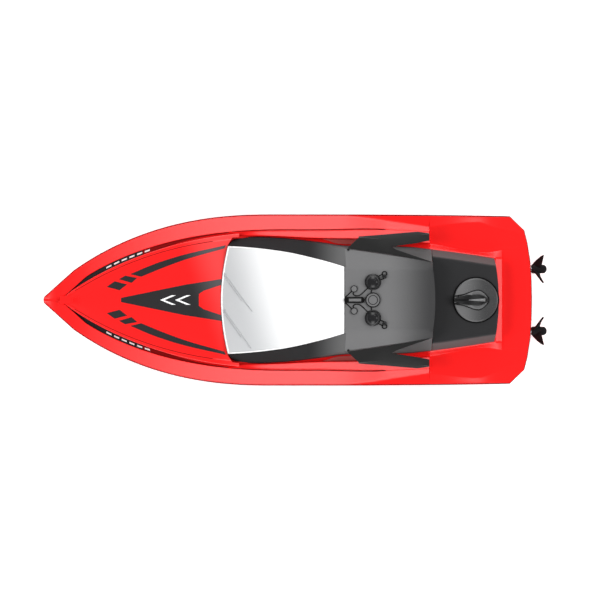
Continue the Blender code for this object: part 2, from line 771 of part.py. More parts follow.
def make_fin(name, side):
    """A swept wing on the cabin's side that splits into two prongs behind."""
    main = FIN_SPINE + FIN_INNER + FIN_ROOT

    def build(bm):
        made = {}

        def corner(point, drop):
            key = (point, drop)
            if key not in made:
                s, b = point
                made[key] = bm.verts.new(place(s, side * b, fin_height(s, b) - drop))
            return made[key]

        faces = [bm.faces.new([corner(p, 0.0) for p in main])]
        ridge = [corner(p, 0.0) for p in FIN_SPINE[1:]]
        edge = [corner(p, FIN_DROP) for p in FIN_OUTER[::-1]]
        for k in range(len(edge) - 1):
            faces.append(bm.faces.new([ridge[k], ridge[k + 1], edge[k + 1], edge[k]]))
        bmesh.ops.triangulate(bm, faces=faces)
        grown = bmesh.ops.extrude_face_region(bm, geom=list(bm.faces), use_keep_orig=True)
        lowered = [v for v in grown["geom"] if isinstance(v, bmesh.types.BMVert)]
        bmesh.ops.translate(bm, verts=lowered, vec=(0, 0, -FIN_THICKNESS * MM))

    fin = SHOP.add(f"side_fin_{name}", mesh_from(build), "black_plastic")
    rings = []
    for at in (50, 74, 90, 106.8, 112):
        rings.append(mirrored_ring(at, [*frame_section(at, GAP + 0.1), (0.0, 70)], [(0.0, 30.0)]))
    return cut(fin, loft(f"fin_seat_{name}", rings))


# ---------------------------------------------------------------- roof fittings

DOME_STATION = 91.1
DOME_SIDE = 10.2
DOME_RADIUS = 4.4
RING_RADIUS = 4.1


def make_roof_fittings():
    """Radar domes, a centre light ring, a horn bar and small lights."""
    seat = roof_top(DOME_STATION, 6.0) + GAP
    for name, side in SIDES:
        arc = [(DOME_RADIUS * math.cos(a), 1.0 + 3.0 * math.sin(a)) for a in (0.0, 0.35, 0.7, 1.05, 1.35)]
        profile = [(0.0, 4.0), *arc[::-1], (DOME_RADIUS, 0.0), (0.0, 0.0)]
        centre = place(DOME_STATION, side * DOME_SIDE, seat)
        turned(f"radar_dome_{name}", profile, centre, (0, 0, 1), "black_plastic")
        light = place(101.8, side * 6.3, roof_top(101.8, 5.0) + GAP)
        profile = [(0.0, 1.3), (1.4, 1.3), (1.8, 0.9), (1.8, 0.0), (0.0, 0.0)]
        turned(f"roof_light_{name}", profile, light, (0, 0, 1), "black_plastic", steps=16)
        beacon = place(84.5, side * 14.0, roof_top(84.5, 12.0) + GAP)
        profile = [(0.0, 1.8), (1.1, 1.6), (1.5, 0.9), (1.5, 0.0), (0.0, 0.0)]
        turned(f"roof_beacon_{name}", profile, beacon, (0, 0, 1), "black_plastic", steps=16)
    centre = place(DOME_STATION, 0, roof_top(DOME_STATION, 0) + GAP)
    profile = [(0.0, 1.0), (2.6, 1.0), (2.9, 1.8), (3.7, 1.8)]
    profile += [(RING_RADIUS, 1.2), (RING_RADIUS, 0.0), (0.0, 0.0)]
    turned("searchlight", profile, centre, (0, 0, 1), "black_plastic")
    half = 1.8
    ends = [(math.pi / 2 + math.pi * i / 6) for i in range(7)]
    rear = [(98.2 + half * math.cos(a), half * math.sin(a)) for a in ends]
    front = [(105.0 - half * math.cos(a), -half * math.sin(a)) for a in ends]
    height = roof_top(98, 0) + GAP
    return soften(slab("horn_bar", rear + front, height, height + 2.0, "black_plastic"), 0.5, 2, 50)


# ---------------------------------------------------------------- hatch lock

def make_lock():
    """The knob on the lid, its spindle, the rubber bush it squeezes and the socket in the deck."""
    centre = place(KNOB_STATION, 0, 0)
    profile = [(0.0, 2.6), (6.0, 2.3), (9.5, 1.9), (11.6, 1.9), (12.5, 1.4), (KNOB_RADIUS, 0.6)]
    profile += [(KNOB_RADIUS - 0.4, 0.0), (0.0, 0.0)]
    base = centre + Vector((0, 0, KNOB_BASE * MM))
    knob = turned("lock_knob", profile, base, (0, 0, 1), "black_plastic", 36)
    rings = []
    for along, width in ((12.2, 2.0), (6.0, 3.6), (-1.2, 5.2), (-4.6, 4.4), (-6.6, 1.4)):
        s = KNOB_STATION + along
        top = GRIP_TOP - 0.14 * (along - 2) ** 2 / 4
        ring_top = [(width, KNOB_BASE + 1.0), (width * 0.55, top - 0.8), (0.0, top)]
        rings.append(mirrored_ring(s, ring_top, [(0.0, KNOB_BASE + 1.0)]))
    join(knob, loft("knob_grip", rings))

    def post(name, low_z, high_z, radius, material=None):
        low, high = place(KNOB_STATION, 0, low_z), place(KNOB_STATION, 0, high_z)
        return rod(name, low, high, radius, material, sides=20)

    cut(knob, post("knob_seat", 40, 52.6, SPINDLE_RADIUS + GAP))
    spindle = post("lock_spindle", 28.2, 52.2, SPINDLE_RADIUS, "steel")
    join(spindle, post("spindle_head", 27.4, 28.9, 4.0))
    bush = post("lock_bush", 29.2, 40.4, BUSH_RADIUS, "rubber")
    cut(bush, post("bush_hole", 27, 43, SPINDLE_RADIUS + GAP))
    socket = post("lock_socket", 27.0, 39.6, SOCKET_RADIUS, "red_plastic")
    join(socket, post("socket_flange", LEDGE + GAP, 39.8, 8.4))
    cut(socket, post("socket_bore", 20, 45, BUSH_RADIUS + GAP))


# ---------------------------------------------------------------- drive line

MOTOR_REAR = 50.0
MOTOR_LENGTH = 30.0
MOTOR_WIDTH = 20.0
MOTOR_HEIGHT = 15.0
CRADLE_TOP = 24.8


def shaft_line(side):
    """The drive line on one side, as a function from a station to a point in metres."""

    def point(at):
        return place(at, side * SHAFT_OFFSET, HUB_HEIGHT + (at - HUB_STATION) * math.tan(SHAFT_SLOPE))

    return point


def blade(name, origin, axis, angle, hand):
    """One twisted propeller blade, a loft of thin chords from the hub to the tip."""
    rings = []
    pitch = 24.0
    for share in (0.0, 0.25, 0.5, 0.75, 0.92, 1.0):
        radius = 1.6 + (PROPELLER_RADIUS - 1.6) * share
        chord = eased([(0.0, 3.4), (0.5, 6.8), (0.75, 7.0), (0.92, 5.0), (1.0, 2.6)], share)
        thickness = 1.2 - 0.6 * share
        turn = math.atan2(2 * math.pi * radius, pitch)
        ring = []
        for u, v in ((-0.5, 0.0), (-0.2, 0.5), (0.2, 0.5), (0.5, 0.0), (0.2, -0.5), (-0.2, -0.5)):
            along = u * chord * math.cos(turn) - v * thickness * math.sin(turn)
            across = u * chord * math.sin(turn) + v * thickness * math.cos(turn)
            spin = angle + hand * across / radius
            ring.append(Vector((along, radius * math.cos(spin), radius * math.sin(spin))) * MM)
        rings.append(ring)
    obj = loft(name, rings)
    obj.rotation_mode = "QUATERNION"
    obj.rotation_quaternion = axis.to_track_quat("X", "Z")
    obj.location = origin
    return obj


def make_propeller(name, side):
    line = shaft_line(side)
    axis = (line(10) - line(0)).normalized()
    nose = PROPELLER_OVERHANG + HUB_STATION
    profile = [(0.0, 4.2), (HUB_RADIUS - 0.4, 4.2), (HUB_RADIUS, 3.6), (HUB_RADIUS, -2.6)]
    profile += [(HUB_RADIUS * math.cos(a), -2.6 - (nose - 2.6) * math.sin(a)) for a in (0.5, 0.95, 1.3)]
    profile += [(0.0, -nose)]
    hub = turned(f"propeller_{name}", profile, line(HUB_STATION), axis, "black_plastic", steps=20)
    for i in range(3):
        angle = math.radians(30 + 120 * i)
        turn = angle if side < 0 else math.pi - angle
        join(hub, blade(f"blade_{name}_{i}", line(HUB_STATION), axis, turn, -side))
    low, high = line(HUB_STATION - 0.4), line(HUB_STATION + 8)
    return cut(hub, rod(f"shaft_seat_{name}", low, high, SHAFT_RADIUS + GAP, sides=12))


def flat_can(bm):
    """A round motor can with two flats, along Z, centred on the origin."""
    radius = MOTOR_WIDTH / 2
    corner = math.asin(MOTOR_HEIGHT / 2 / radius)
    arc = [corner * (1 - i / 3) for i in range(7)]
    ring = [(radius * math.cos(a), radius * math.sin(a)) for a in arc]
    ring += [(-x, -y) for x, y in ring]
    low = -MOTOR_LENGTH / 2 * MM
    face = bm.faces.new([bm.verts.new((x * MM, y * MM, low)) for x, y in ring])
    grown = bmesh.ops.extrude_face_region(bm, geom=[face])
    lifted = [v for v in grown["geom"] if isinstance(v, bmesh.types.BMVert)]
    bmesh.ops.translate(bm, verts=lifted, vec=(0, 0, MOTOR_LENGTH * MM))


def make_drive(name, side):
    """One motor, its coupling, shaft, stern tube, gland and propeller."""
    line = shaft_line(side)
    make_propeller(name, side)
    rod(f"prop_shaft_{name}", line(HUB_STATION), line(40.5), SHAFT_RADIUS, "steel", sides=12)
    tube = rod(f"stern_tube_{name}", line(0.6), line(35), STERN_TUBE_RADIUS, "brass")
    cut(tube, rod(f"tube_hole_{name}", line(-2), line(38), SHAFT_RADIUS + GAP, sides=12))
    gland = rod(f"stern_gland_{name}", line(4.2), line(11), 4.2, "black_plastic", end_radius=3.0)
    cut(gland, rod(f"gland_hole_{name}", line(1), line(14), STERN_TUBE_RADIUS + GAP))
    coupling = rod(f"shaft_coupling_{name}", line(37), line(47), 3.0, "grey_plastic")
    cut(coupling, rod(f"coupling_hole_{name}", line(34), line(50), SHAFT_RADIUS + GAP, sides=12))
    rod(f"motor_spindle_{name}", line(41.4), line(52.4), SHAFT_RADIUS, "steel", sides=12)

    can = SHOP.add(f"motor_{name}", mesh_from(flat_can), "motor_can")
    along = (line(10) - line(0)).normalized()
    across = Vector((0, 1, 0))
    can.rotation_mode = "QUATERNION"
    can.rotation_quaternion = Matrix((across, along.cross(across), along)).transposed().to_quaternion()
    can.location = line(MOTOR_REAR + MOTOR_LENGTH / 2)
    low, high = line(MOTOR_REAR - 3), line(MOTOR_REAR + 4)
    cut(can, rod(f"motor_bore_{name}", low, high, SHAFT_RADIUS + 0.4, sides=12))
    front = MOTOR_REAR + MOTOR_LENGTH
    rod(f"motor_cap_{name}", line(front + GAP), line(front + 3.3), 7.0, "black_plastic", sides=20)


def make_motor_mount():
    """A cradle that stands on the hull's floor, and a strap screwed across both motors."""
    middle = MOTOR_REAR + MOTOR_LENGTH / 2
    top = [(35.0, CRADLE_TOP), (0.0, CRADLE_TOP)]
    bottom = [(35.0, 11.0), (8.5, WALL + 0.6), (0.0, WALL + 0.6)]
    rings = [mirrored_ring(at, top, bottom) for at in (middle - 9, middle + 9)]
    cradle = loft("motor_cradle", rings, "grey_plastic")
    for name, side in SIDES:
        axis = shaft_line(side)(middle)
        tall = 36.0
        room = block(f"motor_room_{name}", middle, 0, 0, (60, MOTOR_WIDTH + 2 * GAP, tall))
        room.rotation_euler = (0, -SHAFT_SLOPE, 0)
        room.location = axis + Vector((0, 0, (tall / 2 - MOTOR_HEIGHT / 2 - GAP) * MM))
        cut(cradle, room)
    strap = block("motor_strap", middle, 0, CRADLE_TOP + GAP + 1.0, (12, 70, 2.0), "grey_plastic")
    for name, side in (("port", 31.6), ("centre", 0.0), ("starboard", -31.6)):
        low, high = place(middle, side, 14), place(middle, side, 30)
        screw_hole = rod(f"strap_hole_{name}", low, high, 1.3, sides=12)
        cut(cradle, screw_hole)
        cut(strap, screw_hole)
        make_screw(f"strap_screw_{name}", place(middle, side, CRADLE_TOP + GAP + 2.0), 8.0)
    return soften(strap, 0.5, 1)


def make_screw(name, seat, length):
    """A pan-head screw, its head just above a seat, pointing down."""
    head = seat + Vector((0, 0, GAP * MM))
    screw = rod(name, head, head + Vector((0, 0, 1.3 * MM)), 2.2, "steel", sides=16)
    low, high = head - Vector((0, 0, length * MM)), head + Vector((0, 0, 0.6 * MM))
    shank = rod(f"{name}_shank", low, high, 1.0, sides=12)
    slot = SHOP.add(f"{name}_slot", mesh_from(lambda bm: bmesh.ops.create_cube(bm, size=MM)))
    slot.location = head + Vector((0, 0, 1.3 * MM))
    slot.scale = (3.0, 0.6, 1.0)
    return cut(join(screw, shank), slot)


# ---------------------------------------------------------------- electronics

BOARD_STATION = 95.0
BATTERY_STATION = 133.0
TRAY_FLOOR = 7.8


def make_electronics():
    """The battery in its tray, the receiver board, the water contacts and the wiring."""
    tray = block("battery_tray", BATTERY_STATION, 0, TRAY_FLOOR + 3.7, (56, 37, 7.4), "grey_plastic")
    cut(tray, block("tray_hollow", BATTERY_STATION, 0, TRAY_FLOOR + 5.4, (53, 34, 8)))
    battery = block("battery_pack", BATTERY_STATION, 0, TRAY_FLOOR + 1.7 + 8.6, (50, 31, 17), "battery_wrap")
    soften(battery, 2.0)

    board = block("receiver_board", BOARD_STATION, 0, BOARD_HEIGHT + 0.8, (16, 44, 1.6), "board_green")
    join(
        board,
        block("radio_chip", 96, -6, BOARD_HEIGHT + 2.2, (7, 7, 1.8)),
        block("lead_socket", 96, 8, BOARD_HEIGHT + 2.8, (5, 8, 3.0)),
    )
    for name, side in SIDES:
        at, offset = BOARD_POSTS[0], side * BOARD_POSTS[1]
        cut(board, rod(f"board_hole_{name}", place(at, offset, 8), place(at, offset, 20), 1.3, sides=12))
        make_screw(f"board_screw_{name}", place(at, offset, BOARD_HEIGHT + 1.6), 5.0)
        low = place(CONTACT_STATION, side * CONTACT_SIDE, 1.2)
        high = place(CONTACT_STATION, side * CONTACT_SIDE, 8.2)
        rod(f"water_contact_{name}", low, high, CONTACT_RADIUS, "steel", sides=12)
        knots = [(83.9, 17.9, 20.6), (85.6, 17.6, 21.0), (88.4, 18.6, 18.6), (90.0, 19.6, 14.8)]
        route = smooth_route([place(s, side * b, z) for s, b, z in knots], 9)
        wire(f"motor_lead_{name}", route, 0.7, "wire_red")
    knots = [(107.4, 8, 20), (105.0, 8, 21.4), (102, 8, 20.8), (99.4, 8, 18.8), (98.0, 8, 16.9)]
    wire("battery_lead", smooth_route([place(*k) for k in knots], 12), 0.9, "wire_black")
    knots = [(99, -18, 14.4), (104, -24, 18), (118, -29, 26), (138, -31, 29), (158, -30, 30)]
    wire("antenna_wire", smooth_route([place(*k) for k in knots], 18), 0.5, "wire_black")


# ---------------------------------------------------------------- whole boat


def make_boat():
    make_hull()
    make_deck()
    make_hatch_seal()
    make_foredeck_cover()
    make_canopy_frame()
    make_windshield()
    make_roof()
    make_wipers()
    make_aft_lid()
    make_roof_fittings()
    make_lock()
    make_motor_mount()
    make_electronics()
    for name, side in SIDES:
        make_fin(name, side)
        make_drive(name, side)


for leftover in list(bpy.data.objects):
    bpy.data.objects.remove(leftover)
SHOP = Workshop()
make_boat()
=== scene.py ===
"""Looks of the toy speedboat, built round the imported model.

Frame: +X forward, +Y to port, +Z up, in metres. The shapes are worked out in millimetres: along
the boat they are stations, measured forward from the middle of the transom, and MM and place()
turn them into the frame.
"""

import math

import bmesh
import bpy
from mathutils import Matrix, Vector


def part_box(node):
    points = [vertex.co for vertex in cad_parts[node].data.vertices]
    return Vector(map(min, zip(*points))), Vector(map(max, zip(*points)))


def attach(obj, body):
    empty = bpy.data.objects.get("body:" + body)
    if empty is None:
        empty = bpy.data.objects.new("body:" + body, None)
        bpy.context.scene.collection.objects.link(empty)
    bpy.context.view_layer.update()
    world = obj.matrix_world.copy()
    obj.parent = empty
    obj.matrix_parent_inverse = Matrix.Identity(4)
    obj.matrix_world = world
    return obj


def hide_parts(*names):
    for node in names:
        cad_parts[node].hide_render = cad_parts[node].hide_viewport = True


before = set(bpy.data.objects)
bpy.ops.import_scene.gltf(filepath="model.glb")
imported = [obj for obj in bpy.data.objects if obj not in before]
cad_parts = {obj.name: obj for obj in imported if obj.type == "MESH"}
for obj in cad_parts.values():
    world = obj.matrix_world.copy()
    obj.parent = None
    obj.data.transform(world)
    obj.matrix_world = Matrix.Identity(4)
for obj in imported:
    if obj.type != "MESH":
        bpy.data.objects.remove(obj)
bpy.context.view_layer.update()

MM = 0.001
GAP = 0.3
SIDES = (("port", 1), ("starboard", -1))

# The body that a piece rides, and its material slot
HULL_RED = ("hull", "red_plastic")
HULL_BLACK = ("hull", "black_plastic")
HULL_GREY = ("hull", "grey_plastic")
HULL_WHITE = ("hull", "white_plastic")
CABIN_BLACK = ("canopy", "black_plastic")
CABIN_WHITE = ("canopy", "white_plastic")
KNOB_BLACK = ("lock_knob", "black_plastic")

# The main sizes, read from the frame
DECK_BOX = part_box("deck")
HULL_LENGTH = (DECK_BOX[1].x - DECK_BOX[0].x) / MM
HALF_BEAM = DECK_BOX[1].y / MM
STERN_X = DECK_BOX[0].x

# Heights above the floor in millimetres, then stations
SHEER = 32.5
SHEER_RISE = 4.5
CREASE = 40.0
LEDGE = 38.5
VALLEY = 36.0
SHOULDER = 43.6
AFT_DECK = 35.0
LID_TOP = 48.5
CANOPY_FOOT = 39.0
LEDGE_REAR = 17.4
BOW_TAPER_START = 150.0
BOW_TIP_START = 271.0
WINDSHIELD_FRONT = 178.3
WINDSHIELD_REAR = 107.6
ROOF_REAR = 57.5
SHOULDER_REAR = 59.0
GROOVE_REAR = 171.0
LID_REAR = 19.6
KNOB_STATION = 32.6

# Thicknesses of the panels and the windshield, and the breadth of the rim round the deck
PANEL = 1.5
GLASS = 1.5
RIM = 0.5


# ---------------------------------------------------------------- curves of the form


def place(station, side, height):
    """The point at a station, a distance to port and a height, in metres."""
    return Vector((STERN_X + station * MM, side * MM, height * MM))


def eased(keys, at):
    """A smooth curve through (position, value) keys with rising positions, held level at both ends."""
    if at <= keys[0][0]:
        return keys[0][1]
    if at >= keys[-1][0]:
        return keys[-1][1]
    i = next(k for k in range(len(keys) - 1) if keys[k + 1][0] >= at)

    def slope(k):
        if k in (0, len(keys) - 1):
            a, b = (k, k + 1) if k == 0 else (k - 1, k)
            return (keys[b][1] - keys[a][1]) / (keys[b][0] - keys[a][0])
        before = (keys[k][1] - keys[k - 1][1]) / (keys[k][0] - keys[k - 1][0])
        after = (keys[k + 1][1] - keys[k][1]) / (keys[k + 1][0] - keys[k][0])
        return 0.0 if before * after <= 0 else 2 * before * after / (before + after)

    (p, a), (q, b) = keys[i], keys[i + 1]
    span = q - p
    t = (at - p) / span
    return (
        a * (2 * t**3 - 3 * t**2 + 1)
        + slope(i) * span * (t**3 - 2 * t**2 + t)
        + b * (3 * t**2 - 2 * t**3)
        + slope(i + 1) * span * (t**3 - t**2)
    )


def bow_curve(at, breadth, start, tip, power, fullness):
    """A half-breadth that is level aft of start and closes on the centreline at tip."""
    if at <= start:
        return breadth
    share = min((at - start) / (tip - start), 1.0)
    return breadth * (1 - share**power) ** fullness


def sheer_breadth(at):
    """The hull's outline seen from above, without the cut-off stern corners."""
    aft = eased([(0, 47.9), (50, 48.7), (95, HALF_BEAM)], at)
    tip = max(0.90 * (HULL_LENGTH + 1.7 - at), 1.4)
    return min(aft, tip, bow_curve(at, HALF_BEAM, BOW_TAPER_START, HULL_LENGTH + 1.5, 2.3, 0.875))


def sheer_height(at):
    """Height of the seam between the hull and the deck."""
    return SHEER + SHEER_RISE * max((at - 110) / 170, 0) ** 1.6


def crease_breadth(at):
    """The top of the outer band that runs round the deck."""
    return min(bow_curve(at, 40.4, 140, 270.3, 2.3, 0.78), max(0.90 * (270.4 - at), 2.0))


def cover_breadth(at):
    """The edge of the foredeck cover, inside the groove."""
    return bow_curve(at, 38.7, 150, 270, 2.0, 0.87)


def canopy_base_breadth(at):
    """The foot of the black canopy, from the rear lid to the front of the pillars."""
    keys = [(19, 23.4), (35, 26.0), (52, 28.3), (75, 30.7), (107, 31.2), (122, 33.3)]
    keys += [(145, 35.7), (158, 36.2), (166, 36.0), (174, 33.6)]
    return eased(keys, at)


def cover_top(at, side):
    """Height of the foredeck cover's crowned top."""
    ridge = eased([(178, 47.0), (215, 45.2), (250, 43.0), (272, 41.8)], at)
    edge = eased([(178, 44.2), (215, 43.0), (250, 42.0), (272, 41.4)], at)
    share = min(abs(side) / max(cover_breadth(at) - 2.6, 1.0), 1.0)
    return edge + (ridge - edge) * (1 - share**2)


def windshield_edge(at):
    """(half-breadth, height) of the windshield's long edges."""
    breadth = eased([(107.6, 18.9), (121.6, 22.9), (144.6, 27.9), (166, 30.3), (177, 30.9)], at)
    rise = (WINDSHIELD_FRONT - at) / (WINDSHIELD_FRONT - WINDSHIELD_REAR)
    return breadth, 45.6 + 18.2 * math.sin(math.pi / 2 * max(rise, 0)) ** 0.92


def pillar_foot(at):
    """(half-breadth, height) where the canopy's lower wall turns into the sloping pillar."""
    breadth = canopy_base_breadth(at) - eased([(107.2, 1.7), (140, 0.4), (176, 0.3)], at)
    return breadth, eased([(107.2, 57.0), (125, 50.0), (145, 43.6), (176, 40.6)], at)


def roof_edge(at):
    """(crease breadth, crease height, eave breadth, eave height) of the roof."""
    crease = eased([(ROOF_REAR, 62.2), (75, 64.2), (92, 64.8), (WINDSHIELD_REAR, 64.2)], at)
    eave = eased([(ROOF_REAR, 21.8), (82, 25.6), (WINDSHIELD_REAR, 29.2)], at)
    return 17.4, crease, eave, crease - 5.0 - 2.2 * (at - ROOF_REAR) / (WINDSHIELD_REAR - ROOF_REAR)


def canopy_front(side):
    """Station of the canopy's front edge at a distance from the centreline."""
    return WINDSHIELD_FRONT - 1.3 * (abs(side) / 17) ** 1.9


def windshield_top(at, side):
    """Height of the windshield's crowned outer face."""
    edge, edge_z = windshield_edge(at)
    crown = eased([(107, 2.0), (135, 3.0), (160, 2.4), (178, 1.4)], at)
    return edge_z + crown * (1 - (side / edge) ** 2)


def roof_top(at, side):
    """Height of the roof panel, which rolls down at its rear edge."""
    crease, crease_z, _, _ = roof_edge(at)
    return crease_z + 0.8 * (1 - min(abs(side) / crease, 1.0) ** 2) - roof_roll(at)


def roof_roll(at):
    """How far the roof's rear edge rolls down."""
    return 0.8 * max((60.2 - at) / 2.7, 0) ** 2


# ---------------------------------------------------------------- mesh tools


def stations(low, high, step):
    """Evenly spaced stations from low to high, about a step apart."""
    count = max(round((high - low) / step), 1)
    return [low + (high - low) * i / count for i in range(count + 1)]


def curve_points(keys, step):
    """(station, side) points along the eased curve through some keys."""
    return [(s, eased(keys, s)) for s in stations(keys[0][0], keys[-1][0], step)]


def rounded(points, radius, steps=4):
    """A line of (side, height) points with its inner corners rounded."""
    corners = [Vector(p) for p in points]
    radii = radius if isinstance(radius, (list, tuple)) else [radius] * (len(points) - 2)
    out = [corners[0]]
    for before, corner, after, reach in zip(corners, corners[1:], corners[2:], radii):
        start = corner + (before - corner).normalized() * min(reach, 0.45 * (before - corner).length)
        end = corner + (after - corner).normalized() * min(reach, 0.45 * (after - corner).length)
        for i in range(steps + 1):
            t = i / steps
            out.append(start * (1 - t) ** 2 + corner * 2 * t * (1 - t) + end * t**2)
    return [tuple(p) for p in out + [corners[-1]]]


def mirrored_ring(station, half_top, half_bottom):
    """A ring across the boat from half outlines of (side, height), listed from outboard to the centreline."""
    top = [place(station, b, z) for b, z in half_top]
    top += [place(station, -b, z) for b, z in reversed(half_top[:-1])]
    bottom = [place(station, -b, z) for b, z in half_bottom]
    bottom += [place(station, b, z) for b, z in reversed(half_bottom[:-1])]
    return top + bottom


def mesh_from(build):
    """A mesh filled by build(bm), with its faces pointing out."""
    bm = bmesh.new()
    build(bm)
    bmesh.ops.recalc_face_normals(bm, faces=bm.faces)
    mesh = bpy.data.meshes.new("mesh")
    bm.to_mesh(mesh)
    bm.free()
    return mesh


def raw(mesh):
    """A scratch object for a mesh, used up by carve()."""
    obj = bpy.data.objects.new("scratch", mesh)
    bpy.context.scene.collection.objects.link(obj)
    return obj


def loft(rings, cyclic=False):
    """A closed skin over rings of equal count, capped at both ends unless it is cyclic."""

    def build(bm):
        rows = [[bm.verts.new(point) for point in ring] for ring in rings]
        count = len(rows[0])
        for near, far in zip(rows, rows[1:] + rows[:1] if cyclic else rows[1:]):
            for i in range(count):
                j = (i + 1) % count
                bm.faces.new((near[i], near[j], far[j], far[i]))
        if not cyclic:
            bm.faces.new(rows[0])
            bm.faces.new(rows[-1])

    return raw(mesh_from(build))


def slab(outline, low, high):
    """A flat outline of (station, side) points raised from one height to another."""

    def build(bm):
        face = bm.faces.new([bm.verts.new(place(s, b, low)) for s, b in outline])
        grown = bmesh.ops.extrude_face_region(bm, geom=[face])
        lifted = [v for v in grown["geom"] if isinstance(v, bmesh.types.BMVert)]
        bmesh.ops.translate(bm, verts=lifted, vec=(0, 0, (high - low) * MM))

    return raw(mesh_from(build))


def block(station, side, height, size, tilt=0.0):
    """A box centred on a point, with its size along, across and up."""

    def build(bm):
        bmesh.ops.create_cube(bm, size=1.0)
        bmesh.ops.scale(bm, verts=bm.verts, vec=[v * MM for v in size])
        bmesh.ops.rotate(bm, verts=bm.verts, matrix=Matrix.Rotation(-tilt, 3, "Y"))
        bmesh.ops.translate(bm, verts=bm.verts, vec=place(station, side, height))

    return raw(mesh_from(build))


def turned(profile, origin, axis=(0, 0, 1), steps=48):
    """A closed solid from a profile of (radius, height) that starts and ends on the axis."""
    turn = Vector(axis).to_track_quat("Z", "Y").to_matrix()
    inner = profile[1:-1]

    def build(bm):
        rows = []
        for i in range(steps):
            a = 2 * math.pi * i / steps
            ring = [Vector((r * math.cos(a), r * math.sin(a), h)) * MM for r, h in inner]
            rows.append([bm.verts.new(point) for point in ring])
        top = bm.verts.new((0, 0, profile[0][1] * MM))
        low = bm.verts.new((0, 0, profile[-1][1] * MM))
        for near, far in zip(rows, rows[1:] + rows[:1]):
            for i in range(len(inner) - 1):
                bm.faces.new((near[i], near[i + 1], far[i + 1], far[i]))
            bm.faces.new((top, near[0], far[0]))
            bm.faces.new((low, far[-1], near[-1]))
        bmesh.ops.rotate(bm, verts=bm.verts, matrix=turn)
        bmesh.ops.translate(bm, verts=bm.verts, vec=origin)

    return raw(mesh_from(build))


def rod(start, end, radius, steps=32, edge=0.2):
    """A cylinder with softened rims between two points given in metres."""
    length = (end - start).length / MM
    flat = radius - edge
    profile = [(0, length), (flat, length), (radius, length - edge), (radius, edge), (flat, 0), (0, 0)]
    return turned(profile, start, end - start, steps)


def post(station, side, low, high, radius):
    """An upright cylinder between two heights."""
    return rod(place(station, side, low), place(station, side, high), radius)


def carve(obj, cuts=(), joins=()):
    """The mesh of a scratch object after its Booleans; the scratch objects are used up."""
    for others, operation in ((joins, "UNION"), (cuts, "DIFFERENCE")):
        for other in others:
            modifier = obj.modifiers.new(operation, "BOOLEAN")
            modifier.operation = operation
            modifier.object = other
    graph = bpy.context.evaluated_depsgraph_get()
    mesh = bpy.data.meshes.new_from_object(obj.evaluated_get(graph))
    for used in (obj, *cuts, *joins):
        bpy.data.objects.remove(used)
    return mesh


def piece(name, mesh, material, body, slot, stands_for=(), edge=0.0, angle=40):
    """A finished piece that rides on a body, with its edges softened by edge millimetres."""
    mesh.materials.clear()
    mesh.materials.append(MATERIALS[material])
    mesh.shade_smooth()
    mesh.set_sharp_from_angle(angle=math.radians(angle))
    obj = bpy.data.objects.new(name, mesh)
    bpy.context.scene.collection.objects.link(obj)
    if edge:
        bevel = obj.modifiers.new("edges", "BEVEL")
        bevel.width = edge * MM
        bevel.segments = 2
        bevel.limit_method = "ANGLE"
        bevel.angle_limit = math.radians(angle)
        bevel.miter_outer = "MITER_ARC"
        normals = obj.modifiers.new("normals", "WEIGHTED_NORMAL")
        normals.keep_sharp = True
    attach(obj, body)
    if stands_for:
        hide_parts(*stands_for)
    return obj


def film(name, outline, surface, material, body, slot, thickness=0.12, cell=2.5):
    """A thin sticker with a (station, side) outline, laid on a surface given as height(station, side)."""

    def build(bm):
        bm.faces.new([bm.verts.new((s, b, 0)) for s, b in outline])
        for axis in (0, 1):
            low = min(p[axis] for p in outline)
            high = max(p[axis] for p in outline)
            for i in range(1, int((high - low) / cell) + 1):
                point = [0, 0, 0]
                point[axis] = low + i * cell
                normal = [0, 0, 0]
                normal[axis] = 1
                everything = bm.verts[:] + bm.edges[:] + bm.faces[:]
                bmesh.ops.bisect_plane(bm, geom=everything, plane_co=point, plane_no=normal)
        for vert in bm.verts:
            s, b, _ = vert.co
            vert.co = place(s, b, surface(s, b))
        bm.normal_update()
        if sum(f.normal.z for f in bm.faces) < 0:
            bmesh.ops.reverse_faces(bm, faces=bm.faces)
        grown = bmesh.ops.extrude_face_region(bm, geom=bm.faces[:], use_keep_orig=True)
        lifted = [v for v in grown["geom"] if isinstance(v, bmesh.types.BMVert)]
        bmesh.ops.translate(bm, verts=lifted, vec=(0, 0, thickness * MM))

    return piece(name, mesh_from(build), material, body, slot)


def on_side(outline, side):
    """An outline drawn for port, mirrored when side is starboard."""
    return outline if side > 0 else [(s, -b) for s, b in reversed(outline)]


def both_sides(outline):
    """A closed outline from its port half, listed from the bow end to the stern end."""
    return list(outline) + [(s, -b) for s, b in reversed(outline) if b > 0]


def smooth_route(knots, count):
    """Points along a smooth curve through a few knots, in metres."""
    ends = [2 * knots[0] - knots[1], *knots, 2 * knots[-1] - knots[-2]]
    route = []
    for i in range(count):
        at = i / (count - 1) * (len(knots) - 1)
        k = min(int(at), len(knots) - 2)
        t = at - k
        a, b, c, d = ends[k : k + 4]
        route.append(
            0.5 * ((2 * b) + (c - a) * t + (2 * a - 5 * b + 4 * c - d) * t**2)
            + 0.5 * ((3 * b - a - 3 * c + d) * t**3)
        )
    return route


